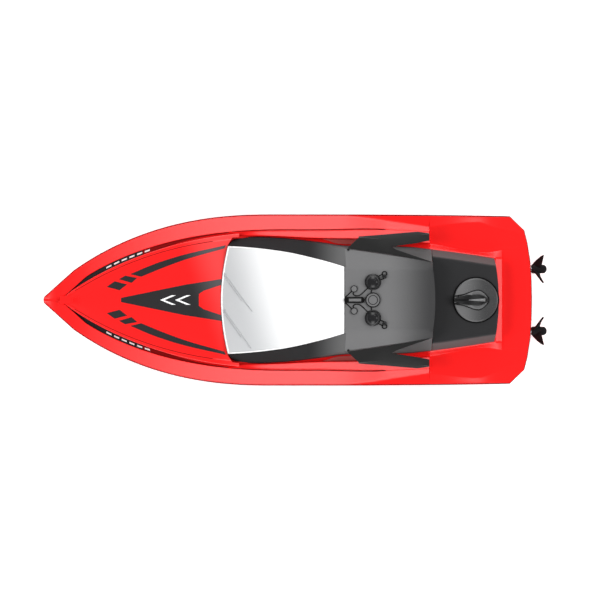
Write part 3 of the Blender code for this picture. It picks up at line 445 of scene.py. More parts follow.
def wire(name, points, radius, material, body, slot, stands_for=(), steps=10):
    """A round wire or rib with rounded ends along points given in metres."""

    def build(bm):
        rows = []
        for i, point in enumerate(points):
            ahead = points[min(i + 1, len(points) - 1)] - points[max(i - 1, 0)]
            turn = ahead.to_track_quat("Z", "Y")
            rows.append([])
            for k in range(steps):
                a = 2 * math.pi * k / steps
                spoke = turn @ Vector((math.cos(a), math.sin(a), 0)) * radius * MM
                rows[-1].append(bm.verts.new(point + spoke))
        for near, far in zip(rows, rows[1:]):
            for k in range(steps):
                bm.faces.new((near[k], near[(k + 1) % steps], far[(k + 1) % steps], far[k]))
        for row, end, inner in ((rows[0], points[0], points[1]), (rows[-1], points[-1], points[-2])):
            tip = bm.verts.new(end + (end - inner).normalized() * radius * 0.6 * MM)
            for k in range(steps):
                bm.faces.new((row[k], row[(k + 1) % steps], tip))

    return piece(name, mesh_from(build), material, body, slot, stands_for, angle=70)


# ---------------------------------------------------------------- materials


def add_node(tree, kind, **constants):
    """A new shader node with constants set on its inputs."""
    node = tree.nodes.new(f"ShaderNode{kind}")
    for socket, value in constants.items():
        node.inputs[socket.replace("_", " ")].default_value = value
    return node


def link(tree, source, output, target, socket):
    tree.links.new(source.outputs[output], target.inputs[socket])


def shade(colour, factor):
    """A colour made darker or lighter, with an alpha of one."""
    return (*(min(c * factor, 1.0) for c in colour), 1.0)


def material(name, colour, roughness, mottle, grain, bump, ior=1.5, metallic=0.0, fade=None, streak=None):
    """A procedural surface: mottled colour, uneven gloss and a fine moulded grain.

    fade is (direction, from, to, colour), which blends towards a second colour along a direction in
    metres, and streak is (x, y, z), which stretches the grain for drawn or brushed metal.
    """
    made = bpy.data.materials.new(name)
    made.use_nodes = True
    tree = made.node_tree
    shader = tree.nodes["Principled BSDF"]
    shader.inputs["Metallic"].default_value = metallic
    shader.inputs["IOR"].default_value = ior
    coords = add_node(tree, "TexCoord")

    cloud = add_node(tree, "TexNoise", Scale=55, Detail=5)
    link(tree, coords, "Object", cloud, "Vector")
    tint = add_node(tree, "Mix")
    tint.data_type = "RGBA"
    tint.inputs["A"].default_value = shade(colour, 1 - mottle)
    tint.inputs["B"].default_value = shade(colour, 1 + mottle)
    link(tree, cloud, "Fac", tint, "Factor")
    last = tint
    if fade:
        direction, low, high, other = fade
        along = add_node(tree, "VectorMath")
        along.operation = "DOT_PRODUCT"
        along.inputs[1].default_value = direction
        link(tree, coords, "Object", along, "Vector")
        ramp = add_node(tree, "MapRange", From_Min=low, From_Max=high)
        ramp.interpolation_type = "SMOOTHSTEP"
        link(tree, along, "Value", ramp, "Value")
        last = add_node(tree, "Mix")
        last.data_type = "RGBA"
        last.inputs["B"].default_value = (*other, 1.0)
        link(tree, ramp, "Result", last, "Factor")
        link(tree, tint, "Result", last, "A")
    link(tree, last, "Result", shader, "Base Color")

    fine = add_node(tree, "TexNoise", Scale=grain, Detail=6)
    if streak:
        stretch = add_node(tree, "Mapping", Scale=streak)
        link(tree, coords, "Object", stretch, "Vector")
        link(tree, stretch, "Vector", fine, "Vector")
    else:
        link(tree, coords, "Object", fine, "Vector")
    gloss = add_node(tree, "MapRange", To_Min=max(roughness * 0.82, 0.02), To_Max=min(roughness * 1.18, 1.0))
    link(tree, fine, "Fac", gloss, "Value")
    link(tree, gloss, "Result", shader, "Roughness")
    relief = add_node(tree, "Bump", Strength=bump, Distance=0.0002)
    link(tree, fine, "Fac", relief, "Height")
    link(tree, relief, "Normal", shader, "Normal")
    return made


RED = (0.86, 0.0125, 0.0125)
BLACK = (0.026, 0.026, 0.027)
CHARCOAL = (0.144, 0.144, 0.146)

# Directions of the fades, and how far the grain is stretched
FORWARD = (1, 0, 0)
FORWARD_PORT = (1, 0.35, 0)
UPWARD = (0, 0, 1)
BRUSHED = (1, 12, 12)
DRAWN = (1, 14, 14)

MATERIALS = {
    "red": material("red_gloss", RED, 0.22, 0.015, 700, 0.02),
    "red_hull": material("red_hull", RED, 0.34, 0.03, 700, 0.0, 1.35),
    # Painted highlight: the cover's red turns lighter towards the windshield and to starboard.
    "red_cover_painted_highlight": material(
        "red_cover_painted_highlight", RED, 0.30, 0.015, 700, 0.0, fade=(FORWARD_PORT, 0.058, 0.036, (0.86, 0.055, 0.055))
    ),
    "rim": material(
        "red_rim", (0.12, 0.004, 0.005), 0.5, 0.03, 700, 0.02, 1.1,
        fade=(FORWARD, -0.09, 0.06, (0.19, 0.005, 0.006)),
    ),
    # Painted sheen: the frame's black turns light grey aft of the pillars, on the cabin's sides.
    "frame": material(
        "frame_black_painted_sheen", (0.022, 0.022, 0.023), 0.50, 0.08, 1500, 0.05, 1.06,
        fade=(FORWARD, -0.006, -0.030, (0.120, 0.120, 0.121)),
    ),
    # Painted shade: the roof's charcoal darkens towards the rear edge.
    "roof": material(
        "roof_charcoal_painted_shade", CHARCOAL, 0.40, 0.05, 1800, 0.05, 1.2,
        fade=(FORWARD, -0.050, -0.080, (0.040, 0.040, 0.041)),
    ),
    # Painted light: below the flat top the lid turns lighter grey, on its sloping sides.
    "lid": material(
        "lid_black_painted_lit_sides", BLACK, 0.36, 0.08, 1500, 0.06, 1.25,
        fade=(UPWARD, 0.0482, 0.0472, (0.072, 0.086, 0.087)),
    ),
    "fin": material("fin_black", (0.017, 0.017, 0.017), 0.40, 0.08, 1500, 0.06, 1.22),
    "fitting": material("fitting_black", (0.016, 0.016, 0.017), 0.14, 0.05, 1200, 0.02, 1.42),
    # Painted shade and painted reflection: a darker, greyer red for the channel strip.
    "channel": material("channel_painted_shade_and_reflection", (0.60, 0.125, 0.115), 0.5, 0.03, 700, 0.02, 1.2),
    # Painted shade: a dark red for the crease line, the cover's edge line and the groove's floor.
    "crease": material("red_crease_painted_shade", (0.22, 0.008, 0.008), 0.5, 0.03, 700, 0.02, 1.1),
    # Near-black for the dark lines round the roof fittings and the grip's foot; round the knob's plate it is
    # a painted shadow.
    "outline": material("dark_outline_and_painted_shadow", (0.006, 0.006, 0.006), 0.45, 0.05, 1200, 0.02, 1.2),
    # The knob is one black moulding drawn as lit and shaded copies: painted light on the skirt, the plate
    # painted lighter towards the bow, painted shade on the core and a painted highlight on the ridge.
    "skirt": material("knob_skirt", (0.105, 0.105, 0.107), 0.30, 0.06, 1300, 0.04, 1.4),
    "knob": material(
        "knob_black_painted_light", (0.046, 0.046, 0.047), 0.26, 0.06, 1300, 0.05,
        fade=(FORWARD, -0.110, -0.092, (0.145, 0.145, 0.147)),
    ),
    "grip": material("grip_painted_shade", (0.009, 0.009, 0.0095), 0.30, 0.06, 1300, 0.04, 1.25),
    "ridge": material("grip_painted_highlight", (0.16, 0.16, 0.163), 0.25, 0.05, 1300, 0.04),
    "propeller": material("propeller_black", (0.014, 0.014, 0.015), 0.50, 0.10, 900, 0.05, 1.08),
    # Painted shade: the windshield's white turns grey towards its front edge.
    "white": material(
        "windshield_white_painted_shade", (0.93, 0.935, 0.94), 0.20, 0.008, 600, 0.015, 1.4,
        fade=((1, 0.28, 0), 0.000, 0.036, (0.50, 0.51, 0.52)),
    ),
    "bead": material("windshield_bead", (0.95, 0.95, 0.95), 0.25, 0.01, 600, 0.015),
    # Painted shade: the wipers are white plastic drawn grey.
    "wiper": material("wiper_painted_shade", (0.40, 0.41, 0.42), 0.35, 0.03, 900, 0.04, 1.45),
    # Painted highlight: the sticker's dark grey turns lighter towards the windshield and to starboard.
    "sticker": material(
        "sticker_graphite_painted_highlight", (0.024, 0.023, 0.024), 0.42, 0.06, 2200, 0.04, 1.35,
        fade=(FORWARD_PORT, 0.060, 0.038, (0.085, 0.083, 0.087)),
    ),
    "mark": material("sticker_white", (0.86, 0.86, 0.86), 0.40, 0.02, 2200, 0.03, 1.45),
    "seal": material("seal_silicone", (0.62, 0.20, 0.06), 0.62, 0.08, 700, 0.12, 1.42),
    "bush": material("bush_rubber", (0.030, 0.030, 0.031), 0.72, 0.12, 800, 0.20, 1.45),
    "grey": material("inner_grey", (0.22, 0.225, 0.235), 0.48, 0.06, 900, 0.10),
    "battery": material("battery_sleeve", (0.02, 0.10, 0.36), 0.32, 0.10, 420, 0.06, 1.45),
    "board": material("board_green", (0.012, 0.16, 0.055), 0.38, 0.20, 1400, 0.12),
    "chip": material("chip_black", (0.022, 0.022, 0.024), 0.50, 0.10, 2500, 0.10),
    "lead_red": material("lead_red", (0.55, 0.015, 0.015), 0.42, 0.06, 900, 0.06, 1.45),
    "lead_black": material("lead_black", (0.022, 0.022, 0.024), 0.42, 0.10, 900, 0.06, 1.45),
    "can": material("motor_can", (0.56, 0.57, 0.58), 0.30, 0.05, 220, 0.10, metallic=1.0, streak=BRUSHED),
    "steel": material("bright_steel", (0.62, 0.62, 0.64), 0.24, 0.05, 260, 0.08, metallic=1.0, streak=DRAWN),
    "brass": material("drawn_brass", (0.78, 0.55, 0.22), 0.28, 0.08, 240, 0.08, metallic=1.0, streak=DRAWN),
}


# ---------------------------------------------------------------- hull


def keel_height(at):
    """Height of the keel, which is level aft and rises to the bow."""
    return 32.5 * max((at - BOW_TAPER_START) / 130, 0) ** 2.1


def chine(at):
    """(half-breadth, height) of the hull's chine."""
    breadth = min(sheer_breadth(at) - 1.6, bow_curve(at, 42.5, 110, 282, 2.0, 1.0))
    return max(breadth, 0.6), 10.0 + 23.5 * max((at - 90) / 190, 0) ** 1.7


def hull_section(at, inset=0.0):
    """Half outline of the hull from the sheer to the keel, with a spray rail halfway along the bottom."""
    sheer, (breadth, height), keel = sheer_breadth(at), chine(at), keel_height(at)
    strip = 2.2 * min(1.0, breadth / 12)
    pad = max(min(9.0, breadth * 0.4) - inset * 0.3, 0.1)
    inner = (max(breadth - strip - inset, 0.2), height - strip * 0.55 + inset)
    rail = 0.0 if inset else 0.9 * min(1.0, breadth / 30)
    low = keel + inset
    steps = ((0.56, rail), (0.50, 0.0))
    middle = [(pad + (inner[0] - pad) * t, low + (inner[1] - low) * t - drop) for t, drop in steps]
    return [
        (max(sheer - 0.7 - inset, 0.3), sheer_height(at)),
        (max(sheer - 0.75 - inset, 0.3), sheer_height(at) - 1.6),
        (max(breadth - inset, 0.24), height + inset * 0.6),
        inner,
        *middle,
        (pad, low),
        (0.0, low),
    ]


# The bowed transom, from its port corner to the centreline
TRANSOM = [(4.4, 40.0), (2.6, 33.0), (0.9, 22.0), (0.2, 11.0), (0.0, 0.0)]


def stern_trim(inset):
    """A cutter that gives the stern its chamfered corners and bowed transom."""
    half = [(25.0, 60.0), *TRANSOM]
    edge = [(s + inset, b) for s, b in half] + [(s + inset, -b) for s, b in reversed(half[:-1])]
    return slab(edge + [(-30, -60), (-30, 60)], -10, 90)


# The drive lines: their distance from the centreline and slope, and the propeller hub's place
SHAFT_OFFSET = 17.9
SHAFT_SLOPE = math.radians(5.0)
HUB_STATION = -4.8
HUB_HEIGHT = 10.6


def shaft_line(side):
    """The drive line on one side, as a function from a station to a point in metres."""

    def point(at):
        return place(at, side * SHAFT_OFFSET, HUB_HEIGHT + (at - HUB_STATION) * math.tan(SHAFT_SLOPE))

    return point


# Station and side of the receiver board's posts, with their height, and of the water contacts
BOARD_POST = (95.0, 15.0, 11.7)
CONTACT = (86.0, 17.0)


def make_hull():
    """The V-bottom hull shell, open at the top, with bores for the drives and the water contacts."""
    where = stations(-3, 150, 9) + stations(154, 262, 4) + stations(264, 280, 2)
    rings = []
    for at in where:
        section = hull_section(at)
        bottom = rounded(section, [0.8, 1.2, 0.7, 0.5, 0.5, 1.5], 3)
        rings.append(mirrored_ring(at, [section[0], (0.0, sheer_height(at))], bottom[1:]))
    hollow_rings = []
    for at in [3.2] + [s for s in where if 6 < s <= 262]:
        section = hull_section(at, 1.8)
        hollow_rings.append(mirrored_ring(at, [(section[0][0], 60.0), (0.0, 60.0)], rounded(section, 1.0, 2)))
    hollow = raw(carve(loft(hollow_rings), [stern_trim(3.0)]))
    cuts = [hollow, stern_trim(1.2)]
    posts = []
    for _, side in SIDES:
        line = shaft_line(side)
        at, offset, top = BOARD_POST
        posts.append(post(at, side * offset, 2.6, top, 2.6))
        cuts.append(rod(line(-8), line(12), 2.3))
        cuts.append(post(CONTACT[0], side * CONTACT[1], -2, 9, 1.9))
    mesh = carve(raw(carve(loft(rings), cuts)), joins=posts)
    piece("hull_shell", mesh, "red_hull", *HULL_RED, ["hull_bottom"], edge=0.35)


# ---------------------------------------------------------------- deck


def plinth_height(at):
    """Height of the flat ledge that the canopy and the foredeck cover stand on."""
    if at > BOW_TIP_START:
        return LEDGE + 0.9
    return AFT_DECK if at < LEDGE_REAR else min(LEDGE, LEDGE - 0.5 * (LEDGE_REAR + 3.8 - at))


def aft_deck_section(at, edge):
    """Half outline of the flat aft deck and of the slope up to the ledge under the lid."""
    recess = eased([(17, 28.8), (26, 27.1), (58, 32.2)], at)
    plateau = eased([(0, 37.0), (21, 41.7), (31, 44.7), (58, 42.3)], at)
    ledge = plinth_height(at)
    flat = [(edge[0][0] - 0.5, -1.3), (plateau, -0.05), (plateau - 0.4, 0.0)]
    flat += [(recess + 0.5, 0.0), (recess, -0.1)]
    top = [(b, AFT_DECK + z) for b, z in flat]
    return edge + top + [(canopy_base_breadth(at) + 0.5, ledge), (0.0, ledge)]


def deck_section(at):
    """Half outline of the deck's top, from the sheer to the centreline."""
    sheer, base, ledge = sheer_breadth(at) - RIM, sheer_height(at) + GAP, plinth_height(at)
    edge = [(sheer, base), (sheer, base + 0.8)]
    if at < SHOULDER_REAR:
        return aft_deck_section(at, edge)
    shrink = min(1.0, sheer / 12.0)
    wedge = eased([(59, 6.7), (104, 0.8), (109, 0.5)], at) * shrink
    outer = [*edge, (max(sheer - wedge, 0.9), base + 0.9 + wedge * 0.1)]
    if at > BOW_TIP_START:
        tip = [(0.7, 0.1), (0.6, 0.1), (0.5, 0.08), (0.35, 0.05), (0.2, 0.0), (0.0, 0.0)]
        return outer + [(b, ledge + z) for b, z in tip]
    wider = crease_breadth(at) + eased([(100, 0.5), (120, 0.0)], at)
    crease = min(wider, eased([(59, 39.5), (90, 40.9)], at), sheer - 1.2 * shrink)
    crease_top = eased([(88, CREASE + 0.8), (140, CREASE + 0.8), (230, CREASE)], at)
    if at < 96:
        wide, low = outer[2]
        inner = eased([(59, 32.6), (98, 34.9)], at)
        level = low + (SHOULDER - low) * (wide - crease) / (wide - inner)
        crease_top = level + (crease_top - level) * eased([(84, 0.0), (96, 1.0)], at)
    lower = crease_top - eased([(84, 0.02), (94, 0.5), (150, 0.8), (176, 1.6)], at)
    if at <= GROOVE_REAR:
        inner = eased([(59, 32.6), (98, 34.9), (125, 35.4), (150, 36.5), (GROOVE_REAR, 36.9)], at)
        inner_top = lower + (SHOULDER - lower) * eased([(100, 1.0), (150, 0.55), (GROOVE_REAR, -0.1)], at)
        foot = min(canopy_base_breadth(at) + 0.5, inner - 1.3)
    else:
        inner, inner_top, foot = crease - 0.9 * shrink, lower - 0.05, crease - 1.6 * shrink
    valley = ledge - eased([(112, 1.3), (150, 0.9), (176, 0.0)], at)
    band = [(crease, crease_top), (crease - 0.35 * shrink, lower), (inner, inner_top)]
    return outer + band + [(inner - 0.25 * shrink, valley), (foot, ledge), (0.0, ledge)]


def deck_underside(at):
    """Half outline of the hollow under the deck, from its lower edge to the centreline."""
    sheer, base = sheer_breadth(at), sheer_height(at)
    if at < SHOULDER_REAR:
        foot = canopy_base_breadth(at) - 1.2
        low, high = AFT_DECK - 2.0, LEDGE - 2.0
        return [(sheer - 6, 9.0), (sheer - 6, low), (foot + 0.5, low), (foot, high), (0.0, high)]
    top = deck_section(at)
    crease, crease_top = top[3]
    foot = top[-2][0]
    wide = sheer - 2.2 - eased([(59, 4.4), (80, 2.0), (104, 0.0)], at)
    roof = (LEDGE if at > GROOVE_REAR else VALLEY) - 2.0
    slope = [(wide, base + 0.2), (max(crease - 1.0, foot), crease_top - 3.4)]
    return [(wide, 9.0), *slope, (foot - 0.3, roof), (0.0, roof)]


# The cockpit opening's port half, from its front to its rear
COCKPIT = [(166.0, 20.0), (160.0, 25.5), (120.0, 25.5), (52.0, 22.0), (46.0, 17.0)]


def cockpit_outline(grow=0.0):
    """The opening under the canopy with clipped corners, moved outwards by grow."""
    ends = {COCKPIT[0][0]: 1.0, COCKPIT[1][0]: 0.41, COCKPIT[-2][0]: -0.41, COCKPIT[-1][0]: -1.0}
    half = []
    for s, b in COCKPIT:
        across = 0.41 if abs(ends.get(s, 0.0)) == 1.0 else 1.0
        half.append((s + grow * ends.get(s, 0.0), b + grow * across))
    return both_sides(half)


def make_rim():
    """The dark red strip that runs round the edge of the deck, in one closed loop."""
    half = [*TRANSOM[::-1], (12.7, 48.05)]
    half += [(at, sheer_breadth(at)) for at in stations(15, 262, 3) + stations(263, 279.4, 0.8)]
    half.append((HULL_LENGTH - 0.1, 1.4))
    route = half + [(HULL_LENGTH - 0.05, 0.0)] + [(s, -b) for s, b in reversed(half[1:])]
    rings = []
    for i, (s, b) in enumerate(route):
        ahead = Vector(route[(i + 1) % len(route)]) - Vector(route[i - 1])
        inward = Vector((ahead.y, -ahead.x)).normalized() * RIM * 1.1
        base = sheer_height(s) + GAP
        section = [(0.0, 0.05), (0.0, 0.6), (0.35, 0.85), (1.0, 0.85), (1.0, 0.05)]
        rings.append([place(s + inward.x * t, b + inward.y * t, base + z) for t, z in section])
    piece("deck_rim", carve(loft(rings, True)), "rim", *HULL_RED)


def make_deck():
    """The red deck moulding with its bands, shoulders, aft deck, hatch and coaming, and the hatch's seal."""
    where = [-3, 6, 12, 16.4, 17.3, LEDGE_REAR, 18.4, 19.4] + stations(21, 57, 3) + [58.5, 59.2]
    where += stations(61, 250, 3) + stations(252, 270.5, 1.5) + stations(271.5, 280, 1.2)
    rings = []
    for at in where:
        top = rounded(deck_section(at), [0.5, 1.2, 0.5, 0.3, 0.9, 0.6, 0.8], 3)
        rings.append(mirrored_ring(at, top, [(0.0, sheer_height(at) + GAP)]))
    hollow_rings = []
    for at in [20, 30, 40, 50, 58.3, 59.4] + stations(64, 236, 6):
        under = deck_underside(at)
        hollow_rings.append(mirrored_ring(at, [under[0], (0.0, 9.0)], under[1:]))
    body = raw(carve(loft(rings), [loft(hollow_rings)]))
    coaming = slab(cockpit_outline(1.8), LEDGE - 2.4, LEDGE + 3.0)
    socket = post(KNOB_STATION, 0, 20, 60, 6.3)
    body = raw(carve(body, joins=[coaming]))
    mesh = carve(body, [slab(cockpit_outline(), 5, 80), stern_trim(RIM), socket])
    piece("deck_shell", mesh, "red", *HULL_RED, ["deck"], edge=0.25, angle=18)

    ring = slab(cockpit_outline(3.2), LEDGE + GAP, LEDGE + 2.0)
    hole = slab(cockpit_outline(2.1), LEDGE - 2, LEDGE + 6)
    piece("hatch_seal_ring", carve(ring, [hole]), "seal", "hull", "seal_rubber", ["hatch_seal"], edge=0.35)


def canopy_outline(grow):
    """The canopy's front seen from above, from starboard round to port, moved outwards by grow."""
    half = [(canopy_front(b) + grow, b) for b in (0, 4, 8, 12, 16, 20, 24, 28, 31.3)]
    half += [(171.6 + grow, 35.4 + grow), (163, 36.3 + grow)]
    return [(s, b) for s, b in reversed(half)] + [(s, -b) for s, b in half[1:]]


def cover_section(at, inset=0.0):
    """Half outline of the foredeck cover, from its foot to the centreline."""
    breadth = cover_breadth(at)
    shoulder = breadth - eased([(168, 3.2), (215, 2.3), (256, 1.9), (268, 0.8)], at)
    edge = cover_top(at, shoulder)
    foot = max(breadth - inset, 0.5)
    top = max(shoulder - inset, 0.4)
    shares = (0.9, 0.78, 0.64, 0.5, 0.36, 0.24, 0.12, 0.0)
    crown = [(top * t, cover_top(at, shoulder * t) - inset) for t in shares]
    strip = min(breadth - shoulder, 1.0)
    rim = [] if inset else [(top + 0.45 * strip, edge - 0.26), (top + 0.2 * strip, edge - 0.12)]
    return [(foot, LEDGE + GAP - 3 * inset), (foot, edge - 0.6 - inset), *rim, (top, edge - inset), *crown]


def make_foredeck_cover():
    """The red crowned cover between the grooves, with the tab that locates it at the bow."""
    where = stations(168, 250, 3) + stations(251.5, 268, 1.5)
    rings = []
    for at in where:
        section = cover_section(at)
        outline = rounded(section[:6], [0.5, 0.2, 0.1, 0.1], 3) + section[6:]
        rings.append(mirrored_ring(at, outline, [(0.0, LEDGE + GAP)]))
    hollow_rings = []
    for at in stations(168, 248, 8):
        section = cover_section(at, 1.8)
        hollow_rings.append(mirrored_ring(at, section, [(0.0, section[0][1])]))
    body = raw(carve(loft(rings), [loft(hollow_rings)]))
    tab = block(265, 0, 41.8, (10.8, 4.4, 2.4))
    body = raw(carve(body, joins=[tab]))
    notch = block(262, 0, 43.2, (2.2, 2.2, 1.6))
    room = slab(canopy_outline(0.25) + [(100, -45), (100, 45)], 30, 90)
    mesh = carve(body, [notch, room])
    # The cover's material carries a painted highlight near the windshield.
    piece("foredeck_shell", mesh, "red_cover_painted_highlight", *HULL_RED, ["foredeck_cover"], edge=0.3)


# ---------------------------------------------------------------- stickers


# Where the groove's floor turns from red to black, and how many dashes it has
GROOVE_DARKENS = 223.0
DASHES = 6


def on_cover(s, b):
    """Height just above the foredeck cover."""
    return cover_top(s, b) + 0.05


def on_arrow(s, b):
    """Height just above the arrow sticker."""
    return on_cover(s, b) + 0.13


def deck_strip(name, side, where, section, lift, material, slot="red_plastic"):
    """A thin strip along the deck; section(at) lists the (side, height) points across its lower face."""
    rings = []
    for at in where:
        row = [place(at, side * b, z) for b, z in section(at)]
        rings.append([point + Vector((0, 0, lift * MM)) for point in row] + row[::-1])
    piece(name, carve(loft(rings)), material, "hull", slot)


def groove_section(at):
    """The groove's outboard wall and the dark part of its floor."""
    share = min(1.0, (267.5 - at) / 7, eased([(174, 0.30), (188, 0.45), (199, 0.65), (212, 1.0)], at))
    outboard = crease_breadth(at) - 0.1
    limit = cover_breadth(at) + 0.05
    inboard = max(outboard - (outboard - limit) * share, limit)
    wall = max(outboard - 0.3, inboard + 0.02)
    height = deck_section(at)[4][1] + 0.12
    return [(outboard, deck_section(at)[3][1] + 0.02), (wall, height), (inboard, height)]


def crease_section(at):
    """A narrow line of painted shade on the crease of the outer band."""
    crease, top = deck_section(at)[3]
    wide = eased([(84, 0.75), (92, 0.5), (172, 0.35)], at)
    return [(crease + 0.1, top + 0.02), (crease - wide, top + 0.04)]


def channel_section(at):
    """Painted shade and painted reflection on the slope that falls from the shoulder towards the cabin."""
    (outboard, low), (inboard, high) = deck_section(at)[6:8]
    share = eased([(100, 0.9), (112, 0.9), (120, 0.15)], at)
    return [(outboard + (inboard - outboard) * t, low + (high - low) * t + 0.12) for t in (0.05, share)]


def cover_line_section(at):
    """A fine line of painted shade where the foredeck cover's crown meets its edge."""
    middle = cover_breadth(at) - eased([(168, 2.9), (215, 2.1), (256, 1.7), (268, 0.7)], at)
    return [(middle + d, cover_top(at, middle + d) + 0.03) for d in (0.17, -0.17)]


def dash_section(at):
    """A white dash in the middle of the groove."""
    middle = (crease_breadth(at) + cover_breadth(at)) / 2
    height = deck_section(at)[4][1] + 0.22
    return [(middle + d, height) for d in (-0.45, 0.45)]


def make_deck_lines(name, side):
    """The dark lines of one side's groove, crease, channel and cover edge, and a row of plain dashes."""
    groove = stations(174, 266.4, 1.2)
    first = next(i for i, at in enumerate(groove) if at > GROOVE_DARKENS)
    deck_strip(f"groove_strip_{name}", side, groove[first:], groove_section, 0.06, "sticker", "black_plastic")
    # The groove's red floor, the crease line and the cover line are painted shade.
    deck_strip(f"groove_floor_{name}", side, groove[: first + 1], groove_section, 0.05, "crease")
    deck_strip(f"crease_line_{name}", side, stations(84, 172, 3), crease_section, 0.08, "crease")
    # The channel strip is painted shade and painted reflection.
    deck_strip(f"channel_strip_{name}", side, stations(100, 120, 2), channel_section, 0.06, "channel")
    deck_strip(f"cover_line_{name}", side, stations(183, 262, 1.5), cover_line_section, 0.05, "crease")
    for i in range(DASHES):
        start = 244.0 - 4.4 * i
        where = stations(start - 2.9, start, 0.7)
        deck_strip(f"dash_{i}_{name}", side, where, dash_section, 0.05, "mark", "white_plastic")


def make_stickers():
    """The foredeck's dark stripes and chips, its arrow with two white chevrons, and the deck's lines."""
    arrow = [(235.4, 1.2), (235.4, -1.2), (199, -8.7), (177.9, -12.0), (178.2, -8.6), (188.1, -5.3)]
    arrow += [(190.9, -3.4), (190.9, 3.4), (188.1, 5.3), (178.2, 8.6), (177.9, 12.0), (199, 8.7)]
    # The sticker material is painted lighter near the windshield: a painted highlight.
    film("arrow_sticker", arrow, on_cover, "sticker", *HULL_BLACK)
    chevron = [(0.0, 0.0), (-6.6, 2.7), (-9.0, 2.7), (-2.4, 0.0), (-9.0, -2.7), (-6.6, -2.7)]
    for i, tip in enumerate((213.0, 204.5)):
        outline = [(tip + s, b) for s, b in chevron]
        film(f"chevron_sticker_{i}", outline, on_arrow, "mark", *HULL_WHITE, 0.08)
    chips = [
        [(243.6, 7.5), (239.1, 10.7), (232.0, 8.9), (236.3, 5.6)],
        [(236.6, 11.9), (233.0, 13.9), (226.2, 12.6), (229.4, 9.8)],
    ]
    stripe = curve_points([(175.6, 31.3), (199, 26.0), (216, 20.7), (230.1, 14.8)], 4)
    stripe += curve_points([(176.4, 29.5), (199, 23.0), (212, 18.2), (223.9, 13.3)], 4)[::-1]
    for name, side in SIDES:
        make_deck_lines(name, side)
        for i, outline in enumerate(chips):
            film(f"chip_sticker_{i}_{name}", on_side(outline, side), on_cover, "sticker", *HULL_BLACK)
        film(f"stripe_sticker_{name}", on_side(stripe, side), on_cover, "sticker", *HULL_BLACK)


# ---------------------------------------------------------------- cabin


def front_trim(inset):
    """A cutter that takes away everything ahead of the canopy's front edge."""
    return slab([(163, 70), *canopy_outline(-inset), (163, -70), (220, -70), (220, 70)], 20, 95)


def frame_section(at, grow=0.0):
    """Half outline of the canopy frame, from its foot to the rim under the windshield or the roof."""
    base = canopy_base_breadth(at)
    if at < WINDSHIELD_REAR:
        crease, crease_z, eave, eave_z = roof_edge(at)
        bend = (eave - 0.9, eave_z - PANEL - 0.5)
        seat = crease_z - PANEL
        rim = [(crease, seat - 0.6), (crease - 0.5, seat - 0.65), (crease - 3, seat - 0.7)]
    else:
        bend = pillar_foot(at)
        edge, edge_z = windshield_edge(at)
        seat = edge_z - GLASS - 0.4
        rim = [(edge + GAP, edge_z - 0.1), (edge + GAP, seat), (edge - 2.6, seat)]
    wall_top = min(41.5, CANOPY_FOOT + (bend[1] - CANOPY_FOOT) * 0.4)
    outline = [(base, CANOPY_FOOT), (base - 0.3, wall_top), bend, *rim]
    return [(b + grow, z + grow * 0.5) for b, z in outline]


def frame_hollow(at):
    """Half outline of the space inside the frame, open at its foot and under the panels."""
    (base, _), (wall, wall_z), (bend, bend_z), (rim, _), (_, seat_z), (lip, _) = frame_section(at)
    rim_inner = min(rim - 1.4, bend - 1.6)
    return [
        (base - 1.7, 30.0),
        (wall - 1.8, wall_z - 0.6),
        (bend - 1.7, bend_z - 1.2),
        (rim_inner, seat_z - 1.4),
        (lip, seat_z - 1.4),
        (lip, seat_z + 12),
        (0.0, seat_z + 12),
    ]


def make_canopy_frame():
    """The black moulding with the cabin's side walls, pillars and rear bulkhead."""
    where = [57.8] + stations(60, 105, 4) + [WINDSHIELD_REAR + 0.02, WINDSHIELD_REAR + 0.07]
    where += stations(110, 170, 3) + stations(172, 180, 2)
    rings = []
    for at in where:
        section = frame_section(at)
        top = rounded([*section, (0.0, section[-1][1])], [0.8, 1.6, 0.25, 0.1, 0.1], 4)
        rings.append(mirrored_ring(at, top, [(0.0, CANOPY_FOOT)]))
    where = [59.6] + stations(64, 104, 8) + [WINDSHIELD_REAR - 1, WINDSHIELD_REAR + 0.1]
    where += stations(112, 171, 6)
    hollow_rings = [mirrored_ring(at, frame_hollow(at), [(0.0, 30.0)]) for at in where]
    arch = block(58.5, 0, 36.0, (6, 52, 13))
    mesh = carve(loft(rings), [loft(hollow_rings), front_trim(0.5), arch])
    # The frame's material paints a sheen as light grey on the cabin's sides.
    piece("cabin_frame", mesh, "frame", *CABIN_BLACK, ["canopy_frame"], edge=0.25)


def make_windshield():
    """The glossy white windscreen, one crowned sheet in the frame's rebate."""
    rings = []
    for at in stations(108.0, 176, 3) + [178, 181]:
        edge = windshield_edge(at)[0]
        top = [(edge * (1 - i / 12), windshield_top(at, edge * (1 - i / 12))) for i in range(13)]
        rings.append(mirrored_ring(at, top, [(b, z - GLASS) for b, z in top]))
    mesh = carve(loft(rings), [front_trim(0.0)])
    # The windshield's material paints shade as grey towards the front edge.
    piece("windshield_sheet", mesh, "white", *CABIN_WHITE, ["windshield"], edge=0.4)
    front = []
    for i in range(-14, 15):
        s, b = canopy_front(29.9 * i / 14), 29.9 * i / 14
        front.append(place(s - 0.55, b, windshield_top(s - 0.6, b) - 0.05))
    wire("windshield_bead_front", front, 0.42, "bead", *CABIN_WHITE)
    for name, side in SIDES:
        edge = []
        for at in stations(109, 174.2, 3):
            breadth, height = windshield_edge(at)
            edge.append(place(at, side * (breadth - 0.35), height - 0.05))
        wire(f"windshield_bead_{name}", edge, 0.36, "bead", *CABIN_WHITE)


